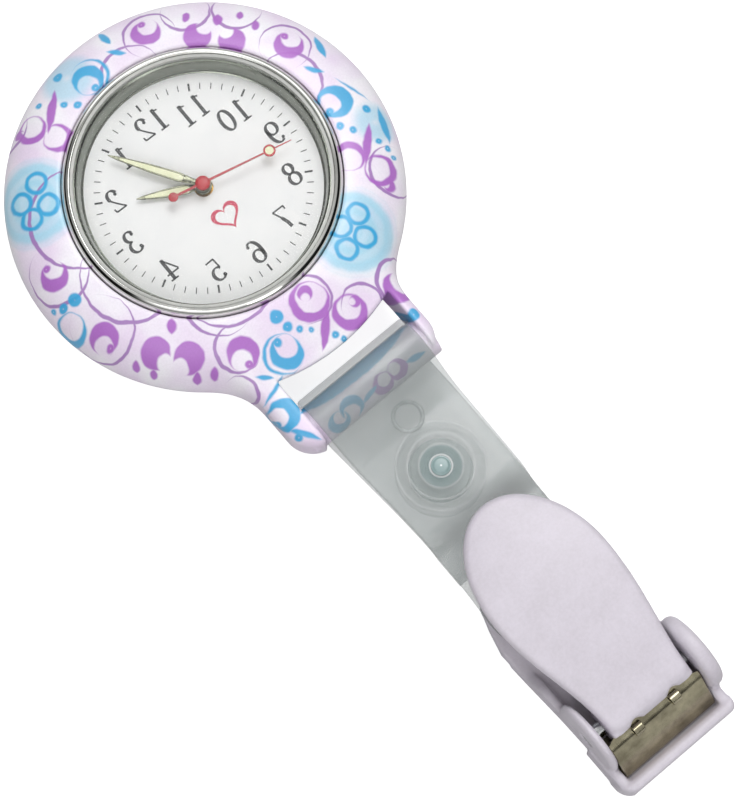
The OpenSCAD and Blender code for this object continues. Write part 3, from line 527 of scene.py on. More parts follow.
def finishes(look):
    """Every finish, by the record's material slot."""
    return {
        # printed liquid-silicone cover: satin, bright ink
        "printed_silicone": printed_silicone(look),
        # stainless case, turned: fine rings and a soft shine
        "case_steel": worked("Turned stainless steel", "#8C8E90", "#C9CBCC", (0.22, 0.4), 0.12, 0.002,
                             (1, 1, 0.2), Metallic=1.0),
        # electroplated chrome over brass: a mirror with the faintest orange peel
        "chrome_plate": worked("Polished chrome plate", "#D9DAD6", "#ECECE8", (0.03, 0.08), 1.2, 0.001,
                               Metallic=1.0),
        # the same plate on the flange ring, its colour painted darker grey-green as the reflection it shows,
        # its gloss softer
        "flange_plate": worked("Chrome plate with painted reflection tint", "#71766D", "#92978C", (0.16, 0.28), 0.5, 0.002,
                               (1, 1, 6), Metallic=1.0),
        # mineral glass: clear, so that the dial shows, with a gloss over it
        "crystal_glass": worked("Mineral glass", "#F4F8F8", "#FFFFFF", (0.01, 0.03), 4.0,
                                Alpha=0.03, IOR=1.5),
        # moulded nylon gasket
        "clear_nylon": worked("Moulded nylon", "#D8DAD6", "#F0F0EC", (0.35, 0.5), 0.6, Alpha=0.6),
        "black_rubber": worked("Moulded nitrile rubber", "#141414", "#262626", (0.5, 0.7), 0.3, 0.004),
        # dial blank sprayed with satin lacquer
        "dial_paint": worked("Satin lacquered brass", "#DFE0E0", "#EBEBEA", (0.35, 0.5), 0.25, 0.001,
                             Coat_Weight=0.2, Coat_Roughness=0.3),
        "ivory_plastic": worked("Moulded acetal", "#DED6BE", "#EFE8D2", (0.4, 0.55), 0.5, 0.002),
        "brass_gilt": worked("Gilt brass", "#B08A3A", "#D9B765", (0.2, 0.35), 0.15, 0.002, (1, 6, 1),
                             Metallic=1.0),
        "polished_steel": worked("Polished steel", "#A9ABAD", "#D5D6D7", (0.12, 0.25), 0.3, Metallic=1.0),
        "battery_steel": worked("Drawn nickel-plated steel", "#9EA0A0", "#C8C9C7", (0.2, 0.35), 0.4, 0.001,
                                Metallic=1.0),
        "board_green": worked("Solder-masked glass epoxy", "#0E4A2C", "#1C6A40", (0.3, 0.45), 0.3, 0.003),
        "soft_iron": worked("Annealed soft iron", "#55565A", "#7A7B80", (0.3, 0.5), 0.2, 0.002, Metallic=1.0),
        # enamelled wire lies side by side: the grain is drawn out along the turns
        "copper_winding": worked("Enamelled copper winding", "#6E2E12", "#B8622E", (0.25, 0.4), 0.06, 0.01,
                                 (1, 0.05, 1), Metallic=0.8),
        # stamped and blackened brass hands
        "hand_metal": worked("Gunmetal-plated brass", "#5E6050", "#8A8C78", (0.2, 0.35), 0.2, 0.001,
                             Metallic=0.9),
        "hand_red": worked("Red enamelled steel", "#8E0014", "#C00820", (0.25, 0.36), 0.3),
        # phosphor in clear binder: grainy, faintly green
        "lume": worked("Luminous phosphor paint", "#DFE3B8", "#F0F1D2", (0.55, 0.7), 0.12, 0.006),
        "clear_pvc": clear_pvc(look),
        "snap_plastic": snap_plastic(look),
        # the two inner rings of the snap, milky where the plastic is thick
        "snap_core": worked("Milky snap plastic", "#BFCBCA", "#D2DCDA", (0.2, 0.35), 0.8, 0.001),
        # moulded ABS with a light spark-eroded texture: satin, in faint patches of two greys
        "clip_plastic": worked("Moulded satin ABS", "#CBC5CE", "#D6D0DA", (0.38, 0.5), 0.35, 0.003,
                               Coat_Weight=0.08, Coat_Roughness=0.35),
        # nickel-plated spring steel strip: warm, smooth plating; its broad darker and lighter patches are
        # painted reflections
        "nickel_spring": worked("Nickel-plated spring steel", "#4E4636", "#C6BFA2", (0.1, 0.22), 2.6,
                                Metallic=1.0),
    }


def clear_pvc(look):
    """Calendered clear PVC sheet: grey-green and slightly milky, with faint waves in its gloss.
    What lies behind shows through by its alpha, as through a sheet 0.8 mm thick."""
    made, tree, place = blank("Calendered clear PVC")
    haze = add(tree, "TexNoise", {"Vector": place, "Scale": 0.25, "Detail": 3.0})
    colour = add(tree, "Mix", {0: haze, 6: tuple(look.strap_deep), 7: tuple(look.strap_tint)},
                 data_type="RGBA").outputs[2]
    rough = add(tree, "MapRange", {"Value": haze, "To Min": 0.16, "To Max": 0.3})
    relief = add(tree, "Bump", {"Height": haze, "Strength": 0.3, "Distance": 0.02 * MM})
    surface(tree, {"Base Color": colour, "Roughness": rough, "Normal": relief, "IOR": 1.54, "Alpha": 0.35,
                   "Specular IOR Level": 1.0})
    return made


def snap_plastic(look):
    """Moulded clear acetal snap: a greener clear plastic, deepest in the dish over the post, with
    paler rings painted on as highlights where its moulded steps would catch the light."""
    made, tree, place = blank("Moulded clear snap plastic")
    centre = add(tree, "VectorMath", {0: place, 1: (0, bpy.context.scene.fob_sizes.snap_drop, 0)})
    flat = add(tree, "VectorMath", {0: centre, 1: (1, 1, 0)}, operation="MULTIPLY")
    radius = add(tree, "VectorMath", {0: flat}, operation="LENGTH").outputs["Value"]
    depth = add(tree, "MapRange", {"Value": radius, "From Min": 2.25, "From Max": 1.95},
                interpolation_type="SMOOTHSTEP")
    # painted highlight: pale rings every 1.1 mm of radius, where the moulded steps would catch the light
    fold = add(tree, "Math", {0: radius, 1: 0.55}, operation="PINGPONG")
    ring = add(tree, "MapRange", {"Value": fold, "From Min": 0.14, "From Max": 0.04},
               interpolation_type="SMOOTHSTEP")
    haze = add(tree, "TexNoise", {"Vector": place, "Scale": 0.6, "Detail": 3.0})
    pale = add(tree, "Mix", {0: haze, 6: tuple(look.strap_deep), 7: tuple(look.snap_tint)},
               data_type="RGBA").outputs[2]
    colour = add(tree, "Mix", {0: depth, 6: pale, 7: tuple(look.snap_deep)}, data_type="RGBA").outputs[2]
    # the painted highlight rings laid over the plastic's colour; further down they also make it a little less
    # clear
    colour = add(tree, "Mix", {0: ring, 6: colour, 7: (0.9, 0.93, 0.93, 1)}, data_type="RGBA").outputs[2]
    clear = add(tree, "MapRange", {"Value": depth, "To Min": 0.06, "To Max": 0.3})
    core = add(tree, "Math", {0: radius, 1: 0.95}, operation="LESS_THAN")
    clear = add(tree, "Math", {0: clear, 1: core}, operation="MAXIMUM")
    clear = add(tree, "Math", {0: ring, 1: 0.07, 2: clear}, operation="MULTIPLY_ADD")
    rough = add(tree, "MapRange", {"Value": haze, "To Min": 0.14, "To Max": 0.28})
    surface(tree, {"Base Color": colour, "Roughness": rough, "IOR": 1.5, "Alpha": clear})
    return made


FINISH = {}


# ---------------------------------------------------------------- shapes of the watch head

def cover_field(x, y, z):
    """Distance to the silicone cover. The rim is the body between two quarter ellipses turned round
    the dial's axis. The lug is a rounded box that melts into it, with a slot cut through and a bar
    across. The watch's bed, the bezel's mouth, the back's opening and the crown's pocket are cut out."""
    size = bpy.context.scene.fob_sizes
    r, down, middle = np.hypot(x, y), -y, size.rim_middle
    foot = np.hypot(np.maximum(r - (size.cover_radius - middle), 0), z - middle) - middle
    crown_w, crown_h = size.cover_radius - size.shoulder_start, COVER_HIGH.z - middle
    shoulder = ellipse(np.maximum(r - size.shoulder_start, 0), z - middle, crown_w, crown_h)
    rim = np.where(z < middle, foot, shoulder)
    corner, end = 3.2, size.lug_end
    plan = edge(np.abs(x - size.lug_shift) - size.lug_half_width, np.maximum(down - end, 10 - down), corner)
    lug = edge(plan, plate(z, 1.7, 7.5), 1.3)
    body = join(rim, lug, 3.2)
    undercut = size.slot_radius - 0.3 * np.maximum(7.2 - z, 0)
    slot = np.maximum(np.maximum(np.abs(x) - 7.0, undercut - r), 10 - down)
    body = cut(body, slot, 0.4)
    bed = np.maximum(r - 14.65, plate(z, 1.2, 8.3))
    mouth = np.maximum(r - 13.9, 8.0 - z)
    opening = np.maximum(r - 11.8, z - 1.5)
    pocket = np.maximum(np.hypot(y, z - 4.5) - 1.8, np.maximum(-17 - x, x + 14))
    body = cut(body, np.minimum(bed, pocket), 0.2)
    body = cut(body, np.minimum(mouth, opening), 0.3)
    bar = np.maximum(np.hypot(down - size.bar_drop, z - middle) - 2.15, np.abs(x + 0.3) - 8.0)
    return np.maximum(join(body, bar, 0.15), -z)


def cover_shells():
    """The cover's skin."""
    low = (COVER_LOW.x - 0.6, COVER_LOW.y - HEAD_Y - 0.6, -0.6)
    high = (COVER_HIGH.x + 0.6, COVER_HIGH.y - HEAD_Y + 0.6, COVER_HIGH.z + 0.6)
    return [field_skin(cover_field, low, high, 0.25)]


def bezel_shells():
    """Pressed bezel: a flange under the cover's lip, a domed band and a thin inner lip."""
    return [turned(rounded([
        (12.95, 8.0), (14.6, 8.0, 0.1), (14.6, 8.25, 0.1), (13.84, 8.3, 0.1), (13.8, 9.5, 0.35),
        (13.45, 10.12, 0.4), (13.18, 10.2, 0.1), (13.1, 10.02, 0.06), (12.98, 10.0, 0.05),
        (12.95, 8.0)])[:-1], DIAL_SIDES, closed=True)]


def crystal_shells():
    """Domed glass: its top is z = edge + rise (1 - (r / R)^2)."""
    r = np.linspace(12.45, 0, 24)
    dome = np.column_stack([r, 10.02 + 0.33 * (1 - (r / 12.45) ** 2)])
    foot = rounded([(0, 9.2), (12.6, 9.2, 0.05), (12.6, 9.97, 0.08), (12.45, 10.02)])
    return [turned(np.concatenate([foot, dome[1:]]), DIAL_SIDES)]


def flange_shells():
    """Polished flange ring inside the glass: a cone that leans out as it rises."""
    return [turned(rounded([
        (11.85, 7.2), (12.0, 7.26, 0.04), (12.3, 9.1, 0.3), (12.42, 9.2, 0.06), (12.9, 9.2, 0.1),
        (12.9, 7.2), (11.85, 7.2)])[:-1], DIAL_SIDES, closed=True)]


def dial_shells():
    """Dial blank with a softly rounded rim and its centre hole."""
    return [turned(rounded([(0.95, 6.8), (12.8, 6.8, 0.05), (12.8, 7.2, 0.08), (0.95, 7.2, 0.05),
                            (0.95, 6.8)])[:-1], DIAL_SIDES, closed=True)]


def back_shells():
    """Snap-on case back: a raised lid with a stepped edge, and the flange that seals on the case."""
    return [turned(rounded([
        (0, 0.5), (9.6, 0.5, 0.2), (9.8, 0.62, 0.1), (10.1, 0.62, 0.1), (10.3, 0.5, 0.15),
        (11.7, 0.5, 0.25), (11.7, 1.3, 0.05), (12.95, 1.3, 0.1), (12.95, 1.9, 0.1), (0, 1.9)]), DIAL_SIDES)]


# Strokes of each figure, in heights from its lower left corner: lines, or arcs given as
# (middle x, middle y, half width, half height, start angle, end angle). A spot ends a thin stroke.
FIGURES = {
    "1": ([[(0.3, 0), (0.3, 1)]], [[(0.1, 0.86), (0.22, 0.9), (0.3, 0.99)], [(0.1, 0.02), (0.5, 0.02)]], []),
    "2": ([], [(0.29, 0.72, 0.21, 0.26, 165, -25), [(0.48, 0.61), (0.3, 0.35), (0.06, 0.06)],
               [(0.05, 0.06), (0.53, 0.06)], [(0.53, 0.05), (0.56, 0.22)]], [(0.14, 0.74)]),
    "3": ([], [(0.27, 0.75, 0.2, 0.23, 155, -90), (0.27, 0.26, 0.24, 0.26, 90, -155)],
          [(0.12, 0.8), (0.1, 0.17)]),
    "4": ([[(0.42, 0), (0.42, 1)]], [[(0.42, 0.97), (0.03, 0.31)], [(0.03, 0.29), (0.6, 0.29)],
                                     [(0.24, 0.02), (0.6, 0.02)]], []),
    "5": ([], [[(0.12, 0.95), (0.5, 0.93)], [(0.13, 0.97), (0.1, 0.53)], (0.28, 0.3, 0.24, 0.28, 140, -150)],
          [(0.11, 0.15)]),
    "6": ([], [(0.34, 0.48, 0.27, 0.5, 60, 210), (0.31, 0.28, 0.23, 0.27, 0, 360)], [(0.49, 0.84)]),
    "7": ([[(0.27, 0), (0.3, 0.25), (0.4, 0.55)]], [[(0.4, 0.55), (0.57, 0.93)], [(0.05, 0.93), (0.57, 0.93)],
                                                    [(0.05, 0.95), (0.05, 0.77)]], []),
    "8": ([], [(0.3, 0.76, 0.19, 0.22, 0, 360), (0.3, 0.27, 0.23, 0.26, 0, 360)], []),
    "9": ([], [(0.26, 0.52, 0.27, 0.5, 240, 390), (0.29, 0.72, 0.23, 0.27, 0, 360)], [(0.11, 0.16)]),
    "0": ([], [(0.3, 0.5, 0.24, 0.48, 0, 360)], []),
}


def stroke(line, thick, thin):
    """Both sides of a pen stroke: its half width grows from thin to thick as it turns upright."""
    along = np.gradient(line, axis=0)
    along /= np.maximum(np.linalg.norm(along, axis=1, keepdims=True), 1e-9)
    half = (thin + (thick - thin) * np.abs(along[:, 1:]) ** 1.5) / 2
    across = np.column_stack([-along[:, 1], along[:, 0]]) * half
    return line + across, line - across


def figure_shells(text, x, y, height, low, high, mirror):
    """Figures in print, centred on a point: each stroke is a thin flat bar."""
    shells, advance = [], 0.72
    thick, thin = 0.15, 0.07
    for place, letter in enumerate(text):
        shift = (place - (len(text) - 1) / 2) * advance - 0.3
        bold, light, spots = FIGURES[letter]
        for strokes, least in ((bold, thick), (light, thin)):
            for item in strokes:
                if isinstance(item, tuple):
                    mid_x, mid_y, half_w, half_h, start, end = item
                    angle = np.radians(np.linspace(start, end, 33))
                    line = np.column_stack([mid_x + half_w * np.cos(angle), mid_y + half_h * np.sin(angle)])
                else:
                    line = np.array(item, float)
                weight = least if isinstance(item, list) else thick
                left, right = stroke(line, weight, thin)
                shells.append(print_bar(left, right, shift, x, y, height, low, high, mirror))
        for spot_x, spot_y in spots:
            disc_x = x + mirror * (spot_x + shift) * height
            shells.append(turned([(0.0, low), (0.17, low), (0.17, high), (0.0, high)], 16,
                                 (disc_x, y + (spot_y - 0.5) * height)))
    return shells


def print_bar(left, right, shift, x, y, height, low, high, mirror):
    """A flat bar of print placed on the dial from its stroke's two sides."""
    sides = [np.column_stack([x + mirror * (side[:, 0] + shift) * height, y + (side[:, 1] - 0.5) * height])
             for side in (left, right)]
    return band(*sides, low, high)


def twisted(shells, degrees):
    """Shells turned about the dial's axis."""
    c, s = math.cos(math.radians(degrees)), math.sin(math.radians(degrees))
    spin = np.array([[c, s, 0], [-s, c, 0], [0, 0, 1]])
    return [(np.asarray(points) @ spin, faces) for points, faces in shells]


def numeral_shells(size):
    """Twelve numerals and sixty ticks, numbered to the left or to the right. Towards the dial's two
    sides a numeral moves out by flank_out, and one of two figures moves in by pair_in."""
    mirror = -1 if size.reversed_dial else 1
    low, high = DIAL_TOP + 0.002, DIAL_TOP + 0.02
    flank_out, pair_in = 0.5, 0.9
    shells = []
    for hour in range(1, 13):
        angle = math.radians(90 - 30 * hour * mirror)
        side = abs(math.cos(angle))
        reach = size.numeral_radius + flank_out * side ** 2 - (pair_in * side if hour > 9 else 0)
        shells += figure_shells(str(hour), reach * math.cos(angle), reach * math.sin(angle),
                                size.numeral_height, low, high, mirror)
    for minute in range(60):
        angle = math.radians(90 - 6 * minute)
        along = np.array([math.cos(angle), math.sin(angle)])
        across = np.array([-along[1], along[0]])
        half, start = (0.1, 10.05) if minute % 5 == 0 else (0.045, 10.2)
        ends = np.array([start, 10.85])[:, None] * along
        shells.append(band(ends + across * half, ends - across * half, low, high))
    return twisted(shells, size.dial_turn)


def heart_shells(size):
    """Outline heart: x = 16 sin^3 t, y = 13 cos t - 5 cos 2t - 2 cos 3t - cos 4t, between two sizes."""
    t = np.linspace(0, 2 * np.pi, 96, endpoint=False)
    heart = np.column_stack([16 * np.sin(t) ** 3,
                             13 * np.cos(t) - 5 * np.cos(2 * t) - 2 * np.cos(3 * t) - np.cos(4 * t)])
    heart = (heart - [0, -2.5]) * 3.0 / 32
    outer, inner = heart + [0, -3.9], heart * 0.74 + [0, -3.9]
    rows = [np.column_stack([line, np.full(len(t), z)])
            for line, z in ((outer, DIAL_TOP + 0.02), (inner, DIAL_TOP + 0.02),
                            (inner, DIAL_TOP + 0.002), (outer, DIAL_TOP + 0.002))]
    return twisted([torus(np.stack(rows, 0))], size.dial_turn)


def hand_outline(length, half, neck, count=64):
    """Half widths of a leaf hand along its length: a neck that swells to its widest place and
    then narrows to a needle: points of the right side from the hub to the tip."""
    share = np.linspace(0, 1, count)
    width = np.interp(share, [0, 0.12, 0.26, 0.55, 0.9, 1], [neck, neck, half, half * 0.9, 0.2, 0.03])
    return np.column_stack([width, share * length])


def hand_shells(length, half, neck, hub, low, high, angle):
    """A stamped hand: a flat frame with bevelled edges round an open slot, and its hub."""
    side = hand_outline(length, half, neck)
    share = side[:, 1] / length
    slot = side[:, 0] * np.interp(share, [0, 0.2, 0.24, 0.8, 0.88, 1], [0.3, 0.3, 0.62, 0.62, 0.3, 0.3])
    rows = []
    bevel = min(0.04, (high - low) / 3)
    for way in (1, -1):
        start, end = 0.19, 0.89
        keep = (share > start) & (share < end)
        outer, inner = side[keep] * [way, 1], np.column_stack([way * slot[keep], side[keep][:, 1]])
        edge_x = np.sign(way) * bevel
        section = [(outer, low), (outer, high - bevel), (outer - [edge_x, 0], high),
                   (inner + [edge_x, 0], high), (inner, high - bevel), (inner, low)]
        rings = [np.column_stack([line, np.full(len(line), z)]) for line, z in section]
        rows.append(loft(np.stack(rings, 1)))
    for start, end in ((0.0, 0.22), (0.87, 1.0)):
        keep = (share >= start) & (share <= end)
        outer = side[keep]
        section = [(outer, low), (outer, high - bevel), (outer * [0.8, 1], high), (outer * [-0.8, 1], high),
                   (outer * [-1, 1], high - bevel), (outer * [-1, 1], low)]
        rings = [np.column_stack([line, np.full(len(line), z)]) for line, z in section]
        rows.append(loft(np.stack(rings, 1)))
    rows.append(turned(rounded([(0.0, low), (hub, low, 0.02), (hub, high, 0.06), (0.0, high + 0.005)]), 48))
    return twisted(rows, angle)


def lume_shells(length, half, neck, low, high, angle):
    """The luminous filling of a hand, domed across by a parabola."""
    side = hand_outline(length, half, neck)
    share = side[:, 1] / length
    keep = (share > 0.2) & (share < 0.88)
    width = side[keep][:, 0] * np.interp(share[keep], [0.2, 0.24, 0.8, 0.88], [0.3, 0.62, 0.62, 0.3])
    across = np.array([-1, -0.6, 0, 0.6, 1])
    top = np.stack([np.stack([width * a, side[keep][:, 1], high - 0.03 * a * a + 0 * width], -1)
                    for a in across], 1)
    under = np.stack([np.stack([width * a, side[keep][:, 1], low + 0 * width], -1)
                      for a in across[::-1]], 1)
    return twisted([loft(np.concatenate([top, under], 1))], angle)


def second_shells(angle):
    """Second hand: a tapered rod, a ring near its tip, a disc on its tail and a domed hub cap."""
    low, high = 8.65, 8.80
    y = np.array([-3.4, 0, 6.75])
    half = np.array([0.12, 0.12, 0.07])
    rod = band(np.column_stack([half, y]), np.column_stack([-half, y]), low, high)
    needle = band(np.array([[0.06, 7.85], [0.03, 9.7]]), np.array([[-0.06, 7.85], [-0.03, 9.7]]), low, high)
    loop = turned(rounded([(0.42, low), (0.62, low, 0.03), (0.62, high, 0.05), (0.42, high, 0.03),
                           (0.42, low)])[:-1],
                  48, (0, 7.3), closed=True)
    tail = turned(rounded([(0.0, low), (0.48, low, 0.03), (0.48, high, 0.06), (0.0, high + 0.02)]), 32,
                  (0, -3.2))
    hub = turned(rounded([(0.0, low), (0.74, low, 0.03), (0.75, high, 0.1), (0.5, 8.93, 0.12),
                          (0.0, 8.97)]), 48)
    return twisted([rod, needle, loop, tail, hub], angle)


# ---------------------------------------------------------------- shapes of the strap and clip

def strap_path(size):
    """The strap's middle line, as (distance down from the dial's axis, height): the upper layer from
    its end to the fold, half a circle round the bar, and the lower layer to the clip."""
    bar, middle, fold = size.bar_drop, size.rim_middle, size.fold_radius

    def layer(z_fold, z_snap, end, z_end, level):
        down = np.concatenate([np.linspace(bar, 31.55, 22), np.linspace(32.3, 40.65, 12),
                               np.linspace(41.2, end, 20)])
        fall = z_fold + (z_snap - z_fold) * ease((down - bar) / (31.55 - bar))
        return np.column_stack([down, fall + (z_end - z_snap) * ease((down - 40.65) / (level - 40.65))])

    upper = layer(middle + fold, 4.9, 46.0, 3.2, 43.4)[::-1]
    lower = layer(middle - fold, 2.6, 56.95, 1.85, 47.5)
    turn = np.radians(np.linspace(90, 270, 33))[1:-1]
    bend = np.column_stack([bar + fold * np.cos(turn), middle + fold * np.sin(turn)])
    return np.concatenate([upper, bend, lower]), len(upper) + len(bend) // 2


def strap_half_width(down):
    """Half the strap's width: even at the lug, narrowing to the clip, and round at its hidden end."""
    straight = np.interp(down, [0, 27.1, 43.2], [6.6, 6.6, 6.3])
    return np.where(down > 50.7, np.sqrt(np.maximum(6.3 ** 2 - (down - 50.7) ** 2, 0.3 ** 2)), straight)


def strip(path, half_width, thickness, round_off, corner=6, sideways=0.0):
    """A strip carried along a path in the plane across the lug: each section is a flat bar whose
    long edges are rounded, so its outline runs across, round one edge, back and round the other."""
    along = np.gradient(path, axis=0)
    along /= np.linalg.norm(along, axis=1, keepdims=True)
    normal = np.column_stack([-along[:, 1], along[:, 0]])
    angle = np.linspace(-np.pi / 2, np.pi / 2, corner)
    half = thickness / 2
    lift = np.concatenate([half * np.sin(angle), half * np.sin(angle[::-1])])
    inward = np.concatenate([round_off * (np.cos(angle) - 1), round_off * (1 - np.cos(angle[::-1]))])
    way = np.concatenate([np.ones(corner), -np.ones(corner)])
    half_width = np.broadcast_to(half_width, len(path))
    x = half_width[:, None] * way + inward + np.reshape(sideways, (-1, 1))
    down = path[:, :1] + normal[:, :1] * lift
    z = path[:, 1:] + normal[:, 1:] * lift
    return loft(np.stack([x, -down, z], -1))


def strap_shells(size):
    """The folded strap, and the moulded ring that stands in its upper layer."""
    path, fold = strap_path(size)
    steps = np.linspace(0, 1, 5)[:, None]
    path = np.concatenate([path, path[-1] + steps[1:] * [0.04, 0]])
    layer = np.arange(len(path)) > fold
    spread = ease((path[:, 0] - size.bar_drop) / 16)
    slip = (size.strap_slip * (1 + layer) * spread - 0.08) * (1 - ease((path[:, 0] - 46) / 6))
    half = strap_half_width(path[:, 0]) - 0.2 * spread
    shell = strip(path, half, size.strap_thickness, 0.22, sideways=slip)
    height = np.interp(30.3, *(column for column in path[:54][::-1].T)) + size.strap_thickness / 2
    ring = turned(rounded([(1.25, height - 0.1), (1.65, height - 0.1, 0.02), (1.6, height + 0.08, 0.1),
                           (1.3, height + 0.08, 0.1), (1.25, height - 0.1)])[:-1], 48, (0.7, -30.3),
                           closed=True)
    return [shell, ring]


def snap_head(low, high, sign, centre):
    """A snap's round head: a rounded disc with a shallow dish and a small nub in the middle."""
    face, back = (high, low) if sign > 0 else (low, high)
    dish = 0.2 * sign
    return turned(rounded([
        (0, back), (4.5, back, 0.06), (4.5, face - dish, 0.12), (4.2, face, 0.2), (2.35, face, 0.12),
        (2.15, face - dish, 0.12), (0.85, face - dish, 0.12), (0.7, face - dish * 0.4, 0.12),
        (0, face - dish * 0.4)]),
        96, centre)


def snap_shells(which, size):
    """The four parts of the snap, each turned about its own axis."""
    centre = (0, -size.snap_drop)

    def post(low, high):
        return turned([(0, low), (0.88, low), (0.88, high), (0, high)], 32, centre)

    if which == "snap_cap":
        return [snap_head(5.3, 5.8, 1, centre), post(4.2, 5.35)]
    if which == "snap_post_cap":
        return [snap_head(1.7, 2.2, -1, centre), post(2.15, 3.4)]
    if which == "snap_socket":
        profile = [(0.92, 4.5), (0.92, 4.1), (1.66, 4.0, 0.05), (1.66, 3.5, 0.05), (3.0, 3.5, 0.15),
                   (3.0, 4.5, 0.15), (0.92, 4.5)]
    else:
        profile = [(0.92, 3.95), (0.92, 3.45), (0.92, 3.0), (3.2, 3.0, 0.08), (3.2, 3.4, 0.12),
                   (1.6, 3.4, 0.08), (1.6, 3.95, 0.15), (0.92, 3.95)]
    return [turned(rounded(profile)[:-1], 64, centre, closed=True)]


def rivet_shells():
    """Eyelet rivet: a domed head, its shank and the rolled end under the clip."""
    return [turned(rounded([(0, 0.2), (1.7, 0.2, 0.1), (1.7, 0.7, 0.15), (1.0, 0.7, 0.03),
                            (1.0, 2.28, 0.03), (2.0, 2.28, 0.06), (1.95, 2.6, 0.15),
                            (1.2, 2.75, 0.3), (0.6, 2.6, 0.2), (0, 2.58)]),
                   48, (0, -RIVET_DOWN))]


def pin_shells():
    """Pivot pin, its ends chamfered."""
    left, right = -6.6, 7.3
    return [lying(turned(rounded([(0, left), (0.75, left, 0.2), (0.75, right, 0.2), (0, right)]), 32),
                  (0, -PIN_DOWN, PIN_HIGH))]


def base_half(down):
    """Half the base's width along its length."""
    return np.interp(down, [47.5, 49.5, 51, 53.5, 57, 65.8, 66.0, 72.0],
                     [5.6, 5.9, 6.4, 7.0, 6.85, 6.35, 6.85, 6.85])


def base_field(x, y, z):
    """Distance to the clip's base: a floor plate, a lip across the rear, side cheeks that ramp up,
    and two round ears that hold the pin."""
    down, side = -y, np.abs(x)
    outline = edge(side - base_half(down), np.maximum(BASE_FRONT - down, down - BASE_REAR),
                   np.where(down < 60, 2.0, np.where(x < 0, 1.7, 0.9)))
    floor = edge(outline, plate(z, 0, 1.4), 0.35)
    lip_front = 70.3 - down + 0.35 * (z - 1.4)
    lip = edge(np.maximum(outline, lip_front), plate(z, 0, 3.3), 0.45)
    top = 1.2 + 1.8 * ease((down - 55.5) / 4.0)
    cheek = edge(np.maximum(np.maximum(outline, EAR_INSIDE - side), 55.0 - down),
                 np.abs(z - top / 2) - top / 2, 0.4)
    wall = np.where(x > 0, plate(side, EAR_INSIDE, 7.5), plate(side, EAR_INSIDE, 6.65))
    ear = edge(np.hypot(down - PIN_DOWN, z - PIN_HIGH) - 4.0, wall, 0.75)
    foot = edge(np.maximum(np.abs(down - PIN_DOWN) - 4.0, plate(z, 0.6, PIN_HIGH)), wall, 0.7)
    body = join(join(floor, lip, 0.7), join(cheek, join(ear, foot, 0.1), 0.5), 0.4)
    body = np.maximum(np.maximum(body, -z), down - BASE_REAR)
    pin = np.hypot(down - PIN_DOWN, z - PIN_HIGH) - 0.78
    hole = np.hypot(down - RIVET_DOWN, x) - 1.05
    seat = np.maximum(np.hypot(down - RIVET_DOWN, x) - 1.85, z - 0.75)
    return cut(body, np.minimum(np.minimum(pin, hole), seat), 0.15)


def lever_half(down):
    """Half the lever's width: an ellipse at the thumb end, then a cosine ease to the rear."""
    front = 6.8 * np.sqrt(np.clip(1 - ((THUMB_WIDEST - down) / 9.95) ** 2, 0, 1))
    return np.where(down < THUMB_WIDEST, front, 4.85 + 1.95 * (1 - ease((down - THUMB_WIDEST) / 15.3)))


def lever_field(x, y, z):
    """Distance to the lever: a plate 1.5 mm thick whose top arches along and is crowned across,
    with rounded edges, notches over the spring's tabs and two knuckles round the pin."""
    down = -y
    x = x - 0.2 * ease((down - THUMB_WIDEST) / 10)
    side = np.abs(x)
    share = np.clip((down - THUMB_TIP) / 24.9, 0, 1)
    top = 9.3 - 0.9 * share + 1.3 * np.sin(np.pi * share ** 0.85)
    under = np.maximum(top - 1.5, 6.9)
    half = np.maximum(lever_half(np.maximum(down, 44)), 1)
    crown = 0.45 * np.minimum(side / half, 1.2) ** 2 + 0.7 * np.clip((down - 65.7) / 1.4, 0, 1) ** 2
    front = ellipse(x, down - THUMB_WIDEST, 6.8, 9.95)
    rear = edge(side - lever_half(down), down - LEVER_REAR, 1.2)
    outline = np.where(down < THUMB_WIDEST, front, rear)
    plank = edge(outline, plate(z, under, top - crown), 0.62)
    notch = np.hypot(side - TAB_SIDE, down - TAB_DOWN) - 0.85
    plank = cut(plank, notch, 0.25)
    knuckle = np.hypot(down - PIN_DOWN, z - PIN_HIGH) - 1.75
    web = np.maximum(np.abs(down - PIN_DOWN) - 1.75, plate(z, PIN_HIGH, 7.4))
    ears = edge(np.minimum(knuckle, web), plate(side, 3.7, 4.9), 0.3)
    body = join(plank, ears, 0.4)
    return cut(body, np.hypot(down - PIN_DOWN, z - PIN_HIGH) - 0.85, 0.1)


def spring_shells():
    """The clip's spring: one strip from the lower leg round the bend to the jaw, wider at the jaw,
    with two tabs curled up where it leaves the lever."""
    turn = np.radians(np.linspace(270, 90, 33))
    lower = np.column_stack([np.linspace(66.0, 62.6, 8), np.full(8, 1.65)])
    bend = np.column_stack([62.3 + 2.375 * np.cos(turn), 4.025 + 2.375 * np.sin(turn)])
    fall = rounded([(62.6, 6.4), (67.3, 6.38, 0.9), (70.0, 2.5, 0.35), (70.1, 2.2)], 9)
    down = np.concatenate([lower, bend, fall[:1], np.linspace(fall[0], fall[1], 10)[1:-1], fall[1:]])
    width = np.interp(down[:, 0], [0, 66.3, 67.0, 80], [3.4, 3.4, 5.65, 5.65])
    width[:len(lower) + len(bend)] = 3.4
    strip_shell = strip(down, width, 0.4, 0.1, 4)
    tabs = []
    arc = np.radians(np.linspace(-60, 200, 20))
    for x in (-TAB_SIDE, TAB_SIDE):
        curve = np.column_stack([TAB_DOWN + 0.5 * np.cos(arc), 6.55 + 0.5 * np.sin(arc)])
        points, faces = strip(curve, 0.55, 0.18, 0.04, 4)
        tabs.append((points + [x, 0, 0], faces))
    return [strip_shell, *tabs]


def jaw_shells():
    """The lower jaw plate that lies on the base, its rear edge turned up a little."""
    path = rounded([(66.05, 1.65), (69.6, 1.65, 0.4), (70.1, 1.8)], 6)
    return [strip(path, 5.65, 0.38, 0.1, 4)]


# ---------------------------------------------------------------- settings

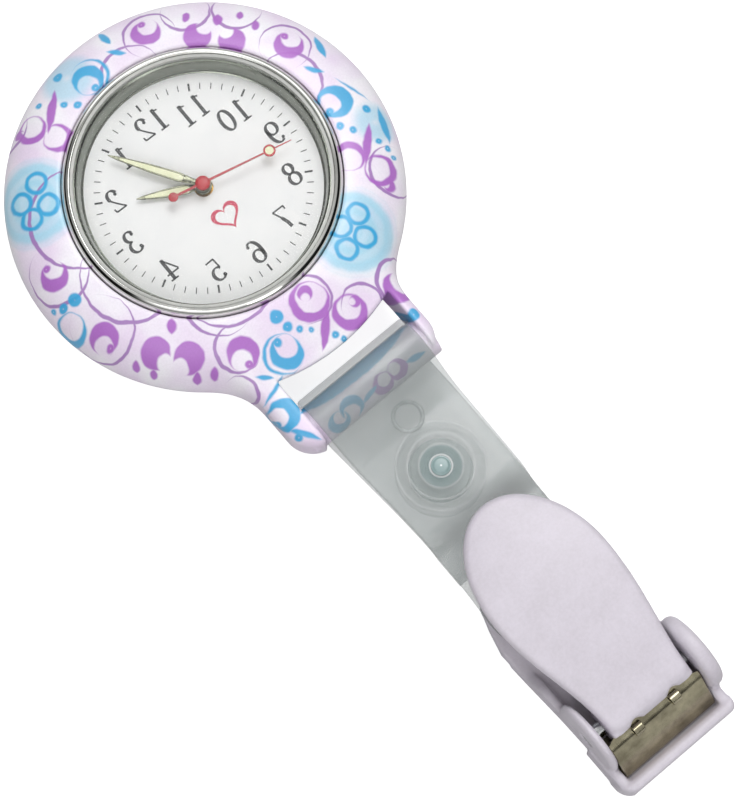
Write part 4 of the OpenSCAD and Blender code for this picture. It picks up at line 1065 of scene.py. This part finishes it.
class FobSizes(bpy.types.PropertyGroup):
    """Sizes that may be changed, in millimetres or degrees."""
    cover_radius: bpy.props.FloatProperty(
        name="Cover radius", description="Outer radius of the silicone cover, mm", default=COVER_HIGH.x)
    rim_middle: bpy.props.FloatProperty(
        name="Widest height", description="Height at which the rim is widest, mm", default=4.6)
    shoulder_start: bpy.props.FloatProperty(
        name="Shoulder start", description="Radius at which the rim's shoulder starts to fall, mm",
        default=13.6)
    lug_half_width: bpy.props.FloatProperty(
        name="Lug half width", description="Half the width of the lug, mm", default=8.95)
    lug_shift: bpy.props.FloatProperty(
        name="Lug shift", description="How far the lug is moulded off the cover's middle, mm", default=-0.65)
    lug_end: bpy.props.FloatProperty(
        name="Lug end", description="Distance of the lug's end from the dial's axis, mm", default=27.5)
    slot_radius: bpy.props.FloatProperty(
        name="Slot radius", description="Radius at which the lug's slot starts, mm", default=21.0)
    bar_drop: bpy.props.FloatProperty(
        name="Bar drop", description="Distance of the strap bar from the dial's axis, mm", default=25.1)
    fold_radius: bpy.props.FloatProperty(
        name="Fold radius", description="Radius of the strap's middle line round the bar, mm", default=2.6)
    strap_thickness: bpy.props.FloatProperty(
        name="Strap thickness", description="Thickness of the strap, mm", default=0.7)
    strap_slip: bpy.props.FloatProperty(
        name="Strap slip", description="How far the strap's lower layer lies to one side, mm", default=0.2)
    snap_drop: bpy.props.FloatProperty(
        name="Snap drop", description="Distance of the snap from the dial's axis, mm", default=36.1)
    numeral_radius: bpy.props.FloatProperty(
        name="Numeral radius", description="Radius of the ring of numerals, mm", default=8.4)
    numeral_height: bpy.props.FloatProperty(
        name="Numeral height", description="Height of the numerals, mm", default=2.4)
    dial_turn: bpy.props.FloatProperty(
        name="Dial turn", description="How far the dial sits turned in its case, degrees", default=-1.2)
    reversed_dial: bpy.props.BoolProperty(
        name="Reversed dial", description="Numbers the dial to the left, as the hands here turn",
        default=True)


class FobColours(bpy.types.PropertyGroup):
    """Colours that may be changed."""
    cover_base: bpy.props.FloatVectorProperty(
        name="Cover", description="Silicone ground", subtype="COLOR", size=4, default=linear("#F6F3FA"))
    cover_tint: bpy.props.FloatVectorProperty(
        name="Cover tint", description="Lilac clouds in the ground", subtype="COLOR", size=4,
        default=linear("#ECDDF2"))
    print_purple: bpy.props.FloatVectorProperty(
        name="Purple ink", description="Curls and petals", subtype="COLOR", size=4, default=linear("#AF68C6"))
    print_blue: bpy.props.FloatVectorProperty(
        name="Blue ink and bar shade", description="Clovers and dots", subtype="COLOR", size=4, default=linear("#36A9DC"))
    print_pale: bpy.props.FloatVectorProperty(
        name="Pale ink", description="Rings round the clovers", subtype="COLOR", size=4,
        default=linear("#A9D8EC"))
    print_line: bpy.props.FloatVectorProperty(
        name="Line ink", description="Thin loops", subtype="COLOR", size=4, default=linear("#A67CBC"))
    strap_tint: bpy.props.FloatVectorProperty(
        name="Strap", description="Clear strap", subtype="COLOR", size=4, default=linear("#A5AEAD"))
    strap_deep: bpy.props.FloatVectorProperty(
        name="Strap haze", description="Haze in the strap", subtype="COLOR", size=4,
        default=linear("#8B9493"))
    snap_tint: bpy.props.FloatVectorProperty(
        name="Snap", description="Clear snap", subtype="COLOR", size=4, default=linear("#C6D2D0"))
    snap_deep: bpy.props.FloatVectorProperty(
        name="Snap haze", description="Haze in the snap", subtype="COLOR", size=4, default=linear("#8FA5A5"))


class FobView(bpy.types.PropertyGroup):
    """The camera's place round the watch."""
    azimuth: bpy.props.FloatProperty(
        name="Azimuth", description="Turn of the camera round the watch, degrees", default=-37.88)
    elevation: bpy.props.FloatProperty(
        name="Elevation", description="Height of the camera, degrees", default=77.44)
    roll: bpy.props.FloatProperty(
        name="Roll", description="Roll of the camera, degrees", default=-2.25)
    distance: bpy.props.FloatProperty(
        name="Distance", description="Distance of the camera from its target", default=0.28, unit="LENGTH")
    lens: bpy.props.FloatProperty(
        name="Lens", description="Focal length, mm on a 36 mm sensor", default=129.16)
    target: bpy.props.FloatVectorProperty(
        name="Target", description="Point that the camera looks at", default=(-0.00103, -0.00055, 0.005),
        subtype="XYZ", unit="LENGTH")


# ---------------------------------------------------------------- operators

class FOB_OT_finishes(bpy.types.Operator):
    """Makes every finish, and gives the CAD nodes that stay on show theirs"""
    bl_idname = "fob.finishes"
    bl_label = "Finishes"

    def execute(self, context):
        FINISH.update(finishes(context.scene.fob_colours))
        for name, node in frame["nodes"].items():
            node.data.materials.clear()
            node.data.materials.append(FINISH[SLOT_OF[name]])
        return {"FINISHED"}


class FOB_OT_cover(bpy.types.Operator):
    """Makes the printed silicone cover"""
    bl_idname = "fob.cover"
    bl_label = "Cover"

    def execute(self, context):
        piece("silicone_cover", cover_shells(), FINISH["printed_silicone"], "watch",
              ["case_cover"], 60)
        return {"FINISHED"}


class FOB_OT_case(bpy.types.Operator):
    """Makes the bezel, glass, flange and back"""
    bl_idname = "fob.case"
    bl_label = "Bezel, glass, flange and back"

    def execute(self, context):
        piece("polished_bezel", bezel_shells(), FINISH["chrome_plate"], "watch", ["bezel"])
        piece("domed_glass", crystal_shells(), FINISH["crystal_glass"], "watch", ["crystal"])
        piece("flange_ring", flange_shells(), FINISH["flange_plate"], "watch",
              ["dial_flange"])
        piece("back_lid", back_shells(), FINISH["case_steel"], "watch", ["case_back"])
        return {"FINISHED"}


class FOB_OT_dial(bpy.types.Operator):
    """Makes the dial, its numerals, ticks and heart"""
    bl_idname = "fob.dial"
    bl_label = "Dial"

    def execute(self, context):
        size = context.scene.fob_sizes
        # pad-printed ink: near black and a little glossy, thin enough to follow the lacquer
        ink = worked("Black pad-printing ink", "#1C1D20", "#2C2E31", (0.35, 0.5), 0.15)
        red = worked("Red pad-printing ink", "#B82A4C", "#CC3A58", (0.35, 0.5), 0.15)
        piece("dial_plate", dial_shells(), FINISH["dial_paint"], "watch", ["dial"])
        piece("dial_numerals", numeral_shells(size), ink, "watch")
        piece("dial_heart", heart_shells(size), red, "watch")
        return {"FINISHED"}


class FOB_OT_hands(bpy.types.Operator):
    """Makes the three hands and their luminous paint"""
    bl_idname = "fob.hands"
    bl_label = "Hands"

    def execute(self, context):
        metal, lume = FINISH["hand_metal"], FINISH["lume"]
        for name, body, length, half, hub, low, angle in (
                ("hour", "hours", 6.7, 0.5, 0.85, 7.65, 61.5),
                ("minute", "minutes", 9.9, 0.48, 0.75, 8.15, 32.2)):
            blade = hand_shells(length, half, HAND_NECK, hub, low, low + HAND_THICK, angle)
            filling = lume_shells(length, half, HAND_NECK, low + 0.03, low + HAND_THICK, angle)
            piece(f"{name}_hand_frame", blade, metal, body, [f"{name}_hand"])
            piece(f"{name}_hand_lume", filling, lume, body, [f"{name}_lume"])
        turn = 256.8
        piece("second_hand_red", second_shells(turn), FINISH["hand_red"], "seconds",
              ["second_hand"])
        spot = turned([(0, 8.67), (0.43, 8.67), (0.43, 8.77), (0.0, 8.79)], 32, (0, 7.3))
        piece("second_hand_lume", twisted([spot], turn), lume, "seconds")
        return {"FINISHED"}


class FOB_OT_strap(bpy.types.Operator):
    """Makes the folded strap and its snap"""
    bl_idname = "fob.strap"
    bl_label = "Strap and snap"

    def execute(self, context):
        size = context.scene.fob_sizes
        piece("clear_strap", strap_shells(size), FINISH["clear_pvc"], "strap", ["strap"], 50)
        for name in ("snap_cap", "snap_socket", "snap_stud", "snap_post_cap"):
            finish = FINISH["snap_plastic" if "cap" in name else "snap_core"]
            piece(f"{name}_clear", snap_shells(name, size), finish, "strap", [name])
        return {"FINISHED"}


class FOB_OT_clip(bpy.types.Operator):
    """Makes the clip's base, lever, spring, pin and rivet"""
    bl_idname = "fob.clip"
    bl_label = "Clip"

    def execute(self, context):
        step = 0.2
        abs_plastic = FINISH["clip_plastic"]
        piece("clip_base_shell", [field_skin(base_field, (-8, -72.6, -0.6), (8, -46.9, 9.6), step)],
              abs_plastic,
              "clip", ["clip_base"], 60)
        piece("clip_lever_shell", [field_skin(lever_field, (-7.2, -69, 2.8), (7.2, -41.6, 11.2), step)],
              abs_plastic,
              "lever", ["clip_lever"], 60)
        piece("eyelet_rivet", rivet_shells(), FINISH["polished_steel"], "clip",
              ["strap_rivet"])
        piece("pivot_pin_steel", pin_shells(), FINISH["polished_steel"], "clip",
              ["pivot_pin"])
        piece("jaw_plate", jaw_shells(), FINISH["nickel_spring"], "clip")
        spring = piece("clip_spring_leaf", spring_shells(), FINISH["nickel_spring"], None,
                       ["clip_spring"])
        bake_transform(spring)
        return {"FINISHED"}


class FOB_OT_stage(bpy.types.Operator):
    """Makes the floor, lights and camera"""
    bl_idname = "fob.stage"
    bl_label = "Stage"

    def execute(self, context):
        scene = context.scene
        made, tree, place = blank("Pale matt paper")
        fibre = add(tree, "TexNoise", {"Vector": place, "Scale": 0.4, "Detail": 3.0})
        colour = add(tree, "Mix", {0: fibre, 6: linear("#C4C4C4"), 7: linear("#CACACA")}, data_type="RGBA")
        seen = add(tree, "LightPath").outputs["Is Camera Ray"]
        glow = add(tree, "Math", {0: seen, 1: 0.8}, operation="MULTIPLY")
        surface(tree, {"Base Color": colour.outputs[2], "Roughness": 0.9, "Specular IOR Level": 0.1,
                       "Emission Color": (1, 1, 1, 1), "Emission Strength": glow})
        half = 2.0
        mesh = bpy.data.meshes.new("floor")
        mesh.from_pydata([(-half, -half, 0), (half, -half, 0), (half, half, 0), (-half, half, 0)], [],
                         [(0, 1, 2, 3)])
        mesh.materials.append(made)
        floor = bpy.data.objects.new("floor", mesh)
        scene.collection.objects.link(floor)
        self.light(scene)
        self.camera(scene)
        scene.view_settings.view_transform = "Standard"
        return {"FINISHED"}

    def light(self, scene):
        """Sky brighter overhead than at the horizon, dark and bright studio walls, and three soft boxes."""
        world = bpy.data.worlds.new("Soft studio")
        world.use_nodes = True
        tree = world.node_tree
        tree.nodes.clear()
        axes = add(tree, "SeparateXYZ", {0: add(tree, "TexCoord").outputs["Generated"]}).outputs
        up = axes[2]
        lift = add(tree, "MapRange", {"Value": up, "From Min": 0.15, "From Max": 0.85, "To Min": 0.08,
                                      "To Max": 0.62}, interpolation_type="SMOOTHSTEP")
        turn = add(tree, "Math", {0: axes[1], 1: axes[0]}, operation="ARCTAN2")
        wave = add(tree, "Math", {0: turn, 1: 2.0, 2: -0.25}, operation="MULTIPLY_ADD")
        wave = add(tree, "Math", {0: wave}, operation="SINE")
        wave = add(tree, "Math", {0: axes[0], 1: 0.25, 2: wave}, operation="MULTIPLY_ADD")
        walls = add(tree, "MapRange", {"Value": wave, "From Min": -0.3, "From Max": 0.4, "To Min": 0.05,
                                       "To Max": 3.4}, interpolation_type="SMOOTHSTEP")
        over = add(tree, "MapRange", {"Value": up, "From Min": 0.6, "From Max": 0.9})
        share = add(tree, "Mix", {0: over, 2: walls, 3: 1.0}, data_type="FLOAT")
        lift = add(tree, "Math", {0: lift, 1: share}, operation="MULTIPLY")
        back = add(tree, "Background", {"Color": (1, 1, 1, 1), "Strength": lift})
        add(tree, "OutputWorld", {"Surface": back})
        scene.world = world
        for name, place, size, power in (
                ("key", (0.3, 0.2, 0.75), 0.45, 2.7), ("fill", (-0.4, -0.2, 0.65), 0.4, 0.8),
                ("edge_light", (-0.1, -0.75, 0.35), 0.3, 0.5)):
            lamp = bpy.data.lights.new(name, "AREA")
            lamp.shape, lamp.size, lamp.energy = "DISK", size, power
            holder = bpy.data.objects.new(name, lamp)
            holder.location = place
            holder.rotation_euler = (-Vector(place)).to_track_quat("-Z", "Y").to_euler()
            scene.collection.objects.link(holder)

    def camera(self, scene):
        """Places the camera by its azimuth, elevation, roll and distance."""
        view = scene.fob_view
        a, e, roll = (math.radians(v) for v in (view.azimuth, view.elevation, view.roll))
        back = Vector((math.sin(a) * math.cos(e), -math.cos(a) * math.cos(e), math.sin(e)))
        right = Vector((math.cos(a), math.sin(a), 0))
        up = back.cross(right)
        side = right * math.cos(roll) + up * math.sin(roll)
        above = up * math.cos(roll) - right * math.sin(roll)
        lens = bpy.data.cameras.new("camera")
        lens.sensor_width, lens.lens, lens.clip_start, lens.clip_end = 36, view.lens, 0.01, 20
        holder = bpy.data.objects.new("camera", lens)
        turn = Matrix((side, above, back)).transposed().to_4x4()
        holder.matrix_world = Matrix.Translation(Vector(view.target) + back * view.distance) @ turn
        scene.collection.objects.link(holder)
        scene.camera = holder


OPERATORS = (FOB_OT_finishes, FOB_OT_cover, FOB_OT_case, FOB_OT_dial, FOB_OT_hands, FOB_OT_strap, FOB_OT_clip,
             FOB_OT_stage)


class FOB_PT_panel(bpy.types.Panel):
    """Lists the settings and the steps"""
    bl_idname = "FOB_PT_panel"
    bl_label = "Fob watch"
    bl_space_type = "VIEW_3D"
    bl_region_type = "UI"
    bl_category = "Fob watch"

    def draw(self, context):
        for group in (context.scene.fob_sizes, context.scene.fob_colours, context.scene.fob_view):
            for name in group.bl_rna.properties.keys():
                if name not in ("rna_type", "name"):
                    self.layout.prop(group, name)
        for operator in OPERATORS:
            self.layout.operator(operator.bl_idname)


CLASSES = (FobSizes, FobColours, FobView, *OPERATORS, FOB_PT_panel)
GROUPS = {"fob_sizes": FobSizes, "fob_colours": FobColours, "fob_view": FobView}


def register():
    """Registers the classes and hangs the settings on the scene."""
    for item in CLASSES:
        bpy.utils.register_class(item)
    for name, group in GROUPS.items():
        setattr(bpy.types.Scene, name, bpy.props.PointerProperty(type=group))


def unregister():
    """Takes the settings and classes away again."""
    for name in GROUPS:
        delattr(bpy.types.Scene, name)
    for item in reversed(CLASSES):
        bpy.utils.unregister_class(item)


def main():
    """Registers the add-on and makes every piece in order."""
    register()
    for operator in OPERATORS:
        group, name = operator.bl_idname.split(".")
        getattr(getattr(bpy.ops, group), name)()


if __name__ == "__main__":
    main()
